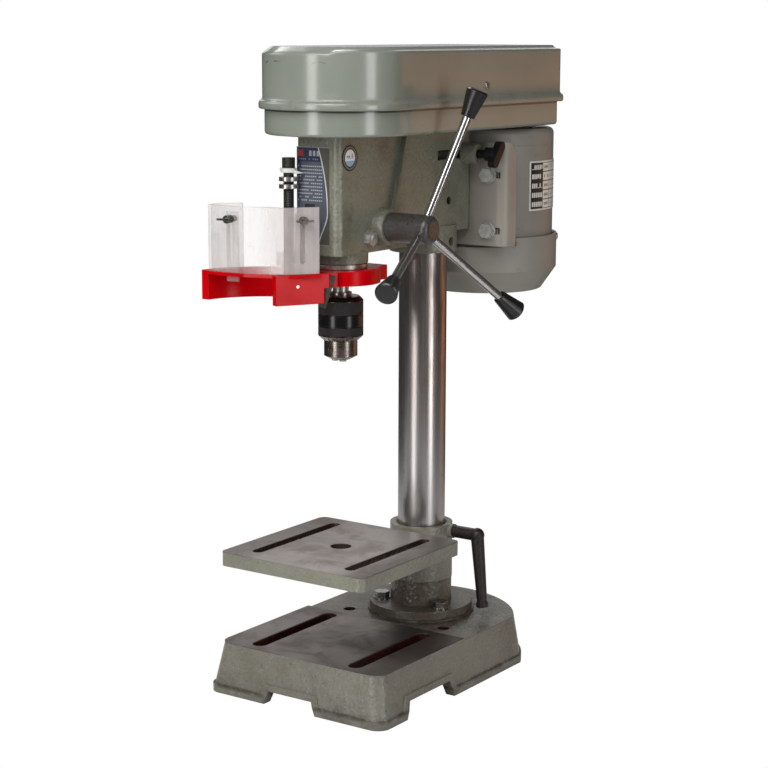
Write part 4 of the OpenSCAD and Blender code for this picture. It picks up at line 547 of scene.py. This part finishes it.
def bars(t, across, up, cell_w, cell_h, fill_w, fill_h):
    """Rows of short marks, one to a cell, with some cells left empty: 1 on a mark."""
    cells_across = t.math("DIVIDE", across, cell_w)
    cells_up = t.math("DIVIDE", up, cell_h)
    mark = t.mul(t.math("LESS_THAN", t.math("FRACT", cells_across), fill_w),
        t.math("LESS_THAN", t.math("FRACT", cells_up), fill_h))
    # an even scatter from the cell's row and column
    scatter = t.math("SINE", t.add(t.mul(t.math("FLOOR", cells_up), 12.9),
        t.mul(t.math("FLOOR", cells_across), 78.2)))
    keep = t.math("GREATER_THAN", t.math("FRACT", t.mul(scatter, 43.7)), 0.18)
    return t.mul(mark, keep)


def box(t, across, up, across_range, up_range):
    """1 within a rectangle of the print."""
    return t.mul(t.band(across, *across_range, PRINT_EDGE), t.band(up, *up_range, PRINT_EDGE))


def data_sheet():
    """Rating plate bent round the motor: white rim, black left column, plain marks."""
    mat, t, shader = material("data_sheet", Specular_IOR_Level=0.5)
    x, y, z = t.xyz()
    along = t.mul(t.math("ARCTAN2", t.sub(y, MOTOR_Y), x), PLATE_R)
    left, right, low, high = -0.02215, 0.03652, 0.4345, 0.4825
    margin, rim_in, row_h = 0.0016, 0.0022, 0.00896
    first_end, second_end = left + 0.0192, left + 0.0322
    in_row = t.math("FRACT", t.math("DIVIDE", t.sub(z, low + margin), row_h))

    def column(part_of_row, cell_w, cell_h, fill_w, fill_h, start, end):
        """Marks in that part of each row, between two places along the plate."""
        marks = t.mul(t.band(in_row, *part_of_row, 0.03),
            bars(t, along, z, cell_w, cell_h, fill_w, fill_h))
        return t.mul(marks, t.band(along, start, end, PRINT_EDGE))

    word = column((0.24, 0.76), 0.0027, row_h, 0.74, 1.0, left + 0.0028, left + 0.0185)
    figure = column((0.36, 0.66), 0.0019, row_h, 0.6, 1.0, left + 0.0215, left + 0.0305)
    small = column((0.3, 0.7), 0.0012, 0.0022, 0.5, 0.5, left + 0.0345, right - 0.004)
    left_col = t.steps(along, first_end, left + 0.0194, 1.0, 0.0)
    rules = t.math("GREATER_THAN", t.math("ABSOLUTE", t.sub(in_row, 0.5)), 0.45)
    lines = t.larger(t.band(along, first_end, left + 0.0198, PRINT_EDGE),
        t.band(along, second_end, left + 0.0327, PRINT_EDGE))
    ink = t.larger(t.larger(left_col, rules), lines)
    ink = t.mul(ink, t.sub(1.0, t.mul(word, left_col)))
    ink = t.larger(ink, t.mul(t.larger(figure, small), t.sub(1.0, left_col)))
    inside = box(t, along, z, (left + margin, right - margin), (low + margin, high - margin))
    within_rim = box(t, along, z, (left + rim_in, right - rim_in), (low + rim_in, high - rim_in))
    ink = t.larger(t.mul(ink, inside), t.mul(inside, t.sub(1.0, within_rim)))
    pale = t.tones(t.noise(50, 4, 0.6), (216, 216, 210), (198, 196, 190))
    wire(t, shader, Base_Color=t.mix(ink, pale, lin(30, 29, 28)),
        Roughness=t.steps(t.noise(70, 4, 0.6), 0.3, 0.7, 0.3, 0.42),
        Normal=t.normal(t.noise(300, 2, 0.5), 0.05, 0.0002))
    return mat


def front_sheet():
    """Printed label on the nose with painted shade along its right edge, and the round badge
    beside it, with plain marks only.
    """
    mat, t, shader = material("front_sheet", Specular_IOR_Level=0.5)
    x, y, z = t.xyz()
    left, middle_z = -0.0205, 0.449
    badge_y, badge_z, badge_starts = -0.154, 0.497, (0.0236, 0.0238)
    sheet = t.tones(t.noise(30, 3, 0.6), (72, 76, 86), (88, 92, 101))
    sheet = t.mix(t.steps(z, 0.4934, 0.4936), sheet, lin(42, 46, 66))
    # marks: width and height of a cell, the shares filled, where they stand, share, tone
    for cell, fill, across, up, share, tone in (
        ((0.0021, 0.0030), (0.7, 0.34), (left, 0.0065), (0.4575, 0.4905), 0.75, (186, 190, 198)),
        ((0.0026, 0.0042), (0.72, 0.55), (left, 0.0015), (0.4235, 0.4475), 0.7, (176, 182, 190)),
        ((0.0042, 0.02), (0.66, 1.0), (-0.0125, 0.0085), (0.4985, 0.5032), 0.8, (168, 172, 184)),
        ((0.0022, 0.02), (0.6, 1.0), (-0.020, 0.006), (0.4950, 0.4964), 0.6, (140, 146, 168)),
    ):
        marks = t.mul(bars(t, x, z, *cell, *fill), box(t, x, z, across, up))
        sheet = t.stain(sheet, marks, share, tone)
    block = box(t, x, z, (-0.013, -0.002), (0.4492, 0.4562))
    grain = t.steps(bars(t, x, z, 0.0011, 0.0012, 0.6, 0.6), 0.4, 0.6, 1.0, 0.75)
    sheet = t.mix(t.mul(block, grain), sheet, lin(24, 26, 34))
    spot = box(t, x, z, (left, -0.0148), (0.4982, 0.5036))
    sheet = t.mix(spot, sheet, lin(150, 42, 40))
    # pale curved border, with painted shade as a dark band outside it
    q = t.math("DIVIDE", t.sub(z, middle_z), 0.045)
    curve = t.sub(0.0121, t.mul(t.mul(q, q), 0.0062))
    curve = t.sub(curve, t.mul(t.steps(z, middle_z, 0.42), 0.0075))
    off = t.sub(x, curve)
    # painted shade: the dark band right of the curved border
    sheet = t.mix(t.steps(off, -PRINT_EDGE, PRINT_EDGE), sheet, lin(78, 76, 70))
    sheet = t.mix(t.band(off, -0.0011, 0.0, PRINT_EDGE), sheet, lin(196, 198, 196))
    ends = t.larger(t.steps(z, 0.5057, 0.5059), t.steps(z, 0.4209, 0.4207))
    edge = t.larger(t.steps(x, -0.0213, -0.0215), ends)
    sheet = t.stain(sheet, edge, 0.7, (150, 154, 160))
    # the badge: dark ring, pale disc, blue foot
    by = t.sub(y, badge_y)
    bz = t.sub(z, badge_z)
    far = t.length(by, bz)
    disc = t.tones(bz, (226, 228, 228), (136, 178, 202), -0.0022, -0.0026)
    rays = t.math("SINE", t.mul(t.math("ARCTAN2", bz, by), 36))
    dots = t.mul(t.band(far, 0.0088, 0.0100, PRINT_EDGE), t.steps(rays, 0.1, 0.4))
    ring = t.mix(t.mul(dots, 0.75), lin(26, 26, 28), lin(190, 190, 188))
    badge = t.mix(t.steps(far, 0.0074, 0.0076), disc, ring)
    marks = bars(t, t.add(by, 0.05), t.add(bz, 0.05), 0.0021, 0.0024, 0.68, 0.74)
    motif = t.mul(box(t, by, bz, (-0.005, 0.005), (-0.0006, 0.0036)), marks)
    badge = t.mix(t.mul(motif, t.steps(far, 0.0070, 0.0072, 1.0, 0.0)), badge, lin(40, 52, 72))
    wire(t, shader, Base_Color=t.mix(t.steps(x, *badge_starts), sheet, badge),
        Roughness=t.steps(t.noise(70, 4, 0.6), 0.3, 0.7, 0.28, 0.42),
        Normal=t.normal(t.noise(200, 2, 0.5), 0.05, 0.0002))
    return mat


# by material slot
mats = {
    "casting_paint": casting_paint("casting_paint"),
    "cover_paint": cover_paint(),
    "motor_paint": motor_paint("motor_paint", (134, 131, 123), (125, 122, 114)),
    "plain_steel": steel("plain_steel", (184, 180, 176), (150, 146, 142), 0.3, scale=500,
        stain=0.25),
    "zinc_screw": steel("zinc_screw", (176, 175, 171), (140, 139, 134), 0.26, scale=700,
        stain=0.25, stained=(140, 120, 96)),
    "black_steel": steel("black_steel", (58, 54, 51), (42, 39, 37), 0.38, scale=500, bump=0.15,
        metallic=0.7, radius=0.0006),
    "black_plastic": plastic("black_plastic", (18, 17, 17), (26, 25, 24), 0.3),
    "red_plastic": plastic("red_plastic", (184, 1, 10), (168, 1, 9), 0.2, 300, 0.05,
        Specular_IOR_Level=0.1),
    "green_plastic": plastic("green_plastic", (24, 120, 60), (20, 105, 52), 0.35),
    "pulley_metal": steel("pulley_metal", (205, 205, 203), (186, 186, 184), 0.32, (1, 1, 6),
        bump=0.15),
    "belt_rubber": plastic("belt_rubber", (26, 26, 26), (36, 35, 34), 0.7, 300, 0.3),
    "winding": steel("winding", (150, 92, 54), (110, 64, 38), 0.4, (1, 1, 0.2), 400, 0.3),
    "clear_plastic": clear_plastic(),
    "label_sheet": plastic("label_sheet", (205, 205, 202), (190, 190, 186), 0.38),
}

slots = {}
for part in frame["record"].get("subparts", []):
    slots[part["node"]] = part["material_slot"]

# by CAD node, where a piece looks different from the rest of its slot
special = {
    "chuck_sleeve": knurled(),
    "feed_arms": arm_chrome(),
    "guard_frame": guard_plastic(),
    "slide_lock_knob": plastic("knob_plastic", (17, 17, 18), (24, 24, 25), 0.34,
        Specular_IOR_Level=0.2),
    "quill_lock_screw": steel("lock_zinc", (204, 202, 198), (160, 158, 153), 0.36,
        stain=0.2, metallic=0.8),
    "quill": steel("quill_steel", (122, 112, 104), (92, 83, 76), 0.3, (1, 1, 6), bump=0.12,
        stain=0.6, stained=(70, 54, 44)),
    "cradle_bolts": steel("dull_zinc", (186, 188, 184), (158, 159, 154), 0.5,
        stain=0.2, stained=(120, 108, 92), metallic=0.45),
    "chuck_body": turned("chuck_steel", (134, 127, 121), (104, 95, 87), 0.27),
    "guard_wing_screws": steel("wing_steel", (128, 128, 124), (96, 95, 92), 0.24,
        stain=0.4, radius=0.0006),
    # the flange's darker paint is partly grease and partly painted shade
    "column_flange": casting_paint("flange_paint", light=(106, 98, 86), dark=(74, 66, 57)),
    "table_bracket": casting_paint("bracket_paint", light=(126, 124, 111), dark=(106, 103, 91)),
    # a lighter copy of the motor paint: painted light on the cradle, which the head shades
    "motor_cradle": motor_paint("cradle_paint", (150, 144, 134), (138, 132, 123)),
    "feed_hub": steel("hub_black", (66, 64, 62), (50, 48, 47), 0.3, scale=500, bump=0.2,
        metallic=0.0, radius=0.001),
    "guard_clip": steel("clip_steel", (104, 100, 96), (84, 80, 76), 0.35, scale=400, stain=0.5),
    "base": casting_paint("base_casting", base_top, (114, 112, 101), (96, 93, 82)),
    "table": casting_paint("table_casting", table_top),
    "column": column_steel(),
    "depth_stop_rod": threaded("stop_thread", (60, 58, 56), (26, 25, 25), 0.36, 0.0015),
    "data_plate": data_sheet(),
    "front_plates": front_sheet(),
}

for name, obj in nodes.items():
    obj.data.materials.clear()
    obj.data.materials.append(special.get(name) or mats.get(slots.get(name), mats["plain_steel"]))


# pieces built here

bodies = {}
for body_name, empty in frame["bodies"].items():
    for node_name, node_obj in nodes.items():
        if node_obj.parent == empty:
            bodies[node_name] = body_name


def piece(name, bm, node, mat, sharp):
    """Finishes a mesh that stands for a CAD node, and rides with the node's body."""
    mesh = bpy.data.meshes.new(name)
    bm.normal_update()
    bm.to_mesh(mesh)
    bm.free()
    for poly in mesh.polygons:
        poly.use_smooth = True
    mesh.set_sharp_from_angle(angle=math.radians(sharp))
    obj = bpy.data.objects.new(name, mesh)
    scene.collection.objects.link(obj)
    mesh.materials.append(mat)
    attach(obj, bodies[node])
    return obj


def smooth_step(a, b, v):
    """0 to 1 with soft ends as v goes from a to b."""
    k = min(max((v - a) / (b - a), 0.0), 1.0)
    return k * k * (3 - 2 * k)


def upright(bm, station, section):
    """Vertices of a section in millimetres, standing outward from a station of the outline."""
    cx, cy, nx, ny, r = station
    return [bm.verts.new(((cx + nx * (r + u)) / 1000, (cy + ny * (r + u)) / 1000, z / 1000))
        for u, z in section]


def lid_outline(half, back_y, corner, axis_y):
    """Stations round the lid: centre, way outward and radius, each with the share of the
    side's cove in the section there."""
    stations = []
    for i in range(61):
        deg = 180 + 3 * i
        a = math.radians(deg)
        cove = smooth_step(297, 304, deg) if deg > 250 else smooth_step(209, 202, deg)
        stations.append(((0.0, axis_y, math.cos(a), math.sin(a), half), cove))
    straight = [axis_y + (back_y - corner - axis_y) * k / 12 for k in range(1, 12)]
    for y in straight:
        stations.append(((0.0, y, 1.0, 0.0, half), 1.0))
    for start, x in ((0, half - corner), (90, corner - half)):
        for i in range(9):
            a = math.radians(start + 90 * i / 8)
            stations.append(((x, back_y - corner, math.cos(a), math.sin(a), corner), 1.0))
    for y in reversed(straight):
        stations.append(((0.0, y, -1.0, 0.0, half), 1.0))
    return stations


def lid_mesh():
    """The hinged lid as one pressed sheet, in millimetres: rolled bead, bevelled front and a
    cove along the sides."""
    half, back_y, corner = 69.4, 142.9, 9.0
    top, sheet = 593.4, 1.8
    # sections: how far outside the wall, and the height
    foot = [(-sheet, 539.1), (2.2, 539.1), (2.8, 539.4), (3.2, 540.1), (3.38, 540.9)]
    rim = [(3.4, 541.4), (3.4, 543.6), (3.25, 544.6), (2.9, 545.5), (2.3, 546.2), (1.6, 546.6),
        (1.0, 547.0), (0.5, 547.6), (0.15, 548.5), (0.0, 549.6), (0.0, 560.0), (0.0, 575.0)]
    bevel = [(0.0, 584.8), (0.0, 585.9), (-0.12, 586.75), (-0.5, 587.55), (-1.2, 588.27),
        (-3.4, 589.93), (-5.6, 591.59), (-7.2, 592.8), (-8.0, top)]
    cove = [(0.0, 587.9), (0.0, 588.7), (-0.14, 589.35), (-0.5, 589.85), (-1.1, 590.08),
        (-3.0, 590.3), (-5.0, 590.95), (-6.8, 592.1), (-8.0, top)]
    under = [(-sheet, 560.0), (-sheet, 584.5), (-sheet - 0.6, 586.6), (-8.4, top - sheet)]
    bm = bmesh.new()
    outer, inner = [], []
    for station, w in lid_outline(half, back_y, corner, SPINDLE_Y * 1000):
        shoulder = [(b[0] * (1 - w) + c[0] * w, b[1] * (1 - w) + c[1] * w)
            for b, c in zip(bevel, cove)]
        outer.append(upright(bm, station, foot + rim + shoulder))
        inner.append(upright(bm, station, under))
    n = len(outer)
    for i in range(n):
        a, b = outer[i], outer[(i + 1) % n]
        c, d = inner[i], inner[(i + 1) % n]
        for j in range(len(a) - 1):
            bm.faces.new((a[j], b[j], b[j + 1], a[j + 1]))
        bm.faces.new((a[0], c[0], d[0], b[0]))
        for j in range(len(c) - 1):
            bm.faces.new((c[j], c[j + 1], d[j + 1], d[j]))
    bm.faces.new([col[-1] for col in outer])
    bm.faces.new([col[-1] for col in reversed(inner)])
    bmesh.ops.recalc_face_normals(bm, faces=bm.faces)
    return bm


def knuckles(bm):
    """The lid's hinge tubes, beside the tray's, with their leaves."""
    hinge_x, hinge_z, tube_r, sides = -0.077, 0.539, 0.003, 18
    leaf_w, leaf_high, leaf_low = 0.0065, 0.0056, 0.0001
    start, end = 0.3, 7.0
    turns = [math.radians(360 / sides * i) for i in range(sides)]
    for y in (-60.0, 80.0):
        ends = []
        for yy in (y + start, y + end):
            ends.append([bm.verts.new((hinge_x + tube_r * math.cos(a), yy / 1000,
                hinge_z + tube_r * math.sin(a))) for a in turns])
        for i in range(sides):
            j = (i + 1) % sides
            bm.faces.new((ends[0][i], ends[0][j], ends[1][j], ends[1][i]))
        bm.faces.new(ends[0][::-1])
        bm.faces.new(ends[1])
        for v in bmesh.ops.create_cube(bm, size=1.0)["verts"]:
            v.co.x = hinge_x + (leaf_w if v.co.x > 0 else 0.0)
            v.co.y = (y + (end if v.co.y > 0 else start)) / 1000
            v.co.z = hinge_z + (leaf_high if v.co.z > 0 else leaf_low)
    bmesh.ops.recalc_face_normals(bm, faces=bm.faces)
    return bm


lid = piece("lid_shell", knuckles(lid_mesh()), "belt_lid", mats["cover_paint"], 30)
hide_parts("belt_lid")


def screw_head(bm, place, out, r, h, turn, slot=0.0011):
    """A domed head with a slot, standing on a face at place and pointing out."""
    sides, steps = 28, 7
    z = Vector(out).normalized()
    x = Matrix.Rotation(turn, 3, z) @ z.orthogonal().normalized()
    y = z.cross(x)
    local = bmesh.new()
    rings = [(r, 0.0)]
    for k in range(steps):
        a = math.radians(90 * k / steps)
        rings.append((r * math.cos(a) ** 0.8, h * (0.28 + 0.72 * math.sin(a))))
    turns = [2 * math.pi * i / sides for i in range(sides)]
    grid = [[local.verts.new((rad * math.cos(a), rad * math.sin(a), up)) for a in turns]
        for rad, up in rings]
    for a, b in zip(grid, grid[1:]):
        for i in range(sides):
            j = (i + 1) % sides
            local.faces.new((a[i], a[j], b[j], b[i]))
    local.faces.new(grid[-1])
    # the slot: cut along its two sides, then sunk between them
    for edge in (-slot / 2, slot / 2):
        geom = list(local.verts) + list(local.edges) + list(local.faces)
        bmesh.ops.bisect_plane(local, geom=geom, plane_co=(0, edge, 0), plane_no=(0, 1, 0))
    strip = [f for f in local.faces if abs(f.calc_center_median().y) < slot / 2 - 1e-6
        and f.calc_center_median().z > h * 0.45]
    moved = bmesh.ops.extrude_face_region(local, geom=strip)
    bmesh.ops.delete(local, geom=strip, context="FACES_ONLY")
    for v in moved["geom"]:
        if isinstance(v, bmesh.types.BMVert):
            v.co.z = h * 0.4
    turned_to = Matrix((x, y, z)).transposed()
    table = {}
    for v in local.verts:
        table[v] = bm.verts.new(Vector(place) + turned_to @ v.co)
    for f in local.faces:
        bm.faces.new([table[v] for v in f.verts])
    local.free()


# three heads round the motor can, four on its fan cover
can_r, can_z = 0.0724, 0.404
cover_r, cover_z = 0.0544, 0.5139
head_r = 0.004
bm = bmesh.new()
for i, deg in enumerate((-35.5, 40, 150)):
    a = math.radians(deg)
    out = (math.cos(a), math.sin(a), 0)
    screw_head(bm, (can_r * out[0], MOTOR_Y + can_r * out[1], can_z), out, head_r, 0.0027,
        turn=0.5 + i)
for i in range(4):
    a = math.radians(90 * i)
    screw_head(bm, (cover_r * math.cos(a), MOTOR_Y + cover_r * math.sin(a), cover_z),
        (0, 0, 1), head_r, 0.0013, turn=0.3 * i)
screws = piece("motor_screw_heads", bm, "motor_screws", mats["zinc_screw"], 35)
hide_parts("motor_screws")

bm = bmesh.new()
screw_head(bm, (0.0693, 0, 0.5574), (1, 0, 0), 0.0036, 0.002, turn=0.9, slot=0.0009)
stud = piece("lid_screw_head", bm, "lid_screw", mats["zinc_screw"], 35)
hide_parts("lid_screw")


# stage, lights and camera

def stage_material(name, tone):
    """Paper that the camera sees as white and that sends a set share of light back."""
    mat, t, shader = material(name, Roughness=0.9)
    darker = tone * 0.96
    wire(t, shader, Base_Color=t.mix(t.noise(3, 2, 0.5), (tone, tone, tone, 1),
        (darker, darker, darker, 1)))
    white = t.node("ShaderNodeEmission", {"Color": (1, 1, 1, 1), "Strength": 1.0})
    out = [n for n in t.tree.nodes if n.bl_idname == "ShaderNodeOutputMaterial"][0]
    t.for_camera(shader, white, out)
    return mat


def plane(name, size, place, mat):
    """A level sheet of the stage."""
    mesh = bpy.data.meshes.new(name)
    w, h = size[0] / 2, size[1] / 2
    mesh.from_pydata([(-w, -h, 0), (w, -h, 0), (w, h, 0), (-w, h, 0)], [], [(0, 1, 2, 3)])
    obj = bpy.data.objects.new(name, mesh)
    scene.collection.objects.link(obj)
    mesh.materials.append(mat)
    obj.location = place


# just under the bench plane, and small, so that it doesn't hide the strips from the column
plane("floor", (1.5, 1.5), (0, -0.03, -0.0005), stage_material("floor_white", 0.8))


def softbox(name, azimuth, distance, height, size, power, aim_z=0.3, colour=(1, 1, 1)):
    """A soft light at an azimuth from +X toward +Y, turned to the machine."""
    light = bpy.data.lights.new(name, "AREA")
    light.shape = "RECTANGLE"
    light.size, light.size_y = size
    light.energy = power
    light.color = colour
    obj = bpy.data.objects.new(name, light)
    scene.collection.objects.link(obj)
    a = math.radians(azimuth)
    obj.location = (distance * math.cos(a), distance * math.sin(a), height)
    aim = Vector((0, 0, aim_z)) - obj.location
    obj.rotation_euler = aim.to_track_quat("-Z", "Y").to_euler()


# name, azimuth, distance, height, size, power, then the height aimed at and the colour
softbox("front_strip", -95, 2.2, 0.65, (0.52, 2.0), 21.0, 0.65)
softbox("side_strip", -13, 2.2, 0.22, (0.52, 1.25), 11.0, 0.22)
softbox("side_strip_high", -13, 2.2, 1.25, (0.85, 0.8), 4.5, 1.25)
softbox("front_fill", -70, 2.2, 1.15, (0.85, 1.0), 4.0, 1.15)
softbox("front_top", -95, 1.4, 2.0, (1.0, 1.0), 16.0)
softbox("camera_top", -66, 1.6, 1.7, (1.0, 1.0), 16.0)
softbox("back_top", 145, 1.4, 2.0, (1.0, 1.0), 14.0)
softbox("back_wall", 126, 2.4, 1.25, (1.6, 0.9), 5.0, 1.25)
softbox("left_fill", 195, 2.0, 1.5, (1.2, 1.0), 7.0, 0.4)
softbox("warm_card", 60, 2.0, 0.2, (1.2, 0.75), 2.3, 0.2, (1.0, 0.44, 0.17))

# the camera sees white all round, and the machine gets a faint share of it
world = bpy.data.worlds.new("studio")
scene.world = world
world.use_nodes = True
sky = Tree(world.node_tree)
sky.tree.nodes.clear()
world_out = sky.node("ShaderNodeOutputWorld")
seen = sky.node("ShaderNodeBackground", {"Color": (1, 1, 1, 1), "Strength": 1.0})
around = sky.node("ShaderNodeBackground", {"Color": (1, 1, 1, 1), "Strength": 0.07})
sky.for_camera(around, seen, world_out)

# lens, direction, lean and place are fitted to the photograph
cam = bpy.data.cameras.new("camera")
cam.lens = 91.161
cam.sensor_width = 36
lean = math.radians(0.175)
cam_obj = bpy.data.objects.new("camera", cam)
scene.collection.objects.link(cam_obj)
back = Vector((0.5588, -0.8093, 0.1808)).normalized()
side = Vector((0, 0, 1)).cross(back).normalized()
up = back.cross(side)
roll = Matrix.Rotation(lean, 3, back)
turn = Matrix((roll @ side, roll @ up, back)).transposed()
cam_obj.matrix_world = Matrix.Translation((1.0227, -1.5463, 0.6106)) @ turn.to_4x4()
scene.camera = cam_obj

scene.view_settings.view_transform = "Standard"
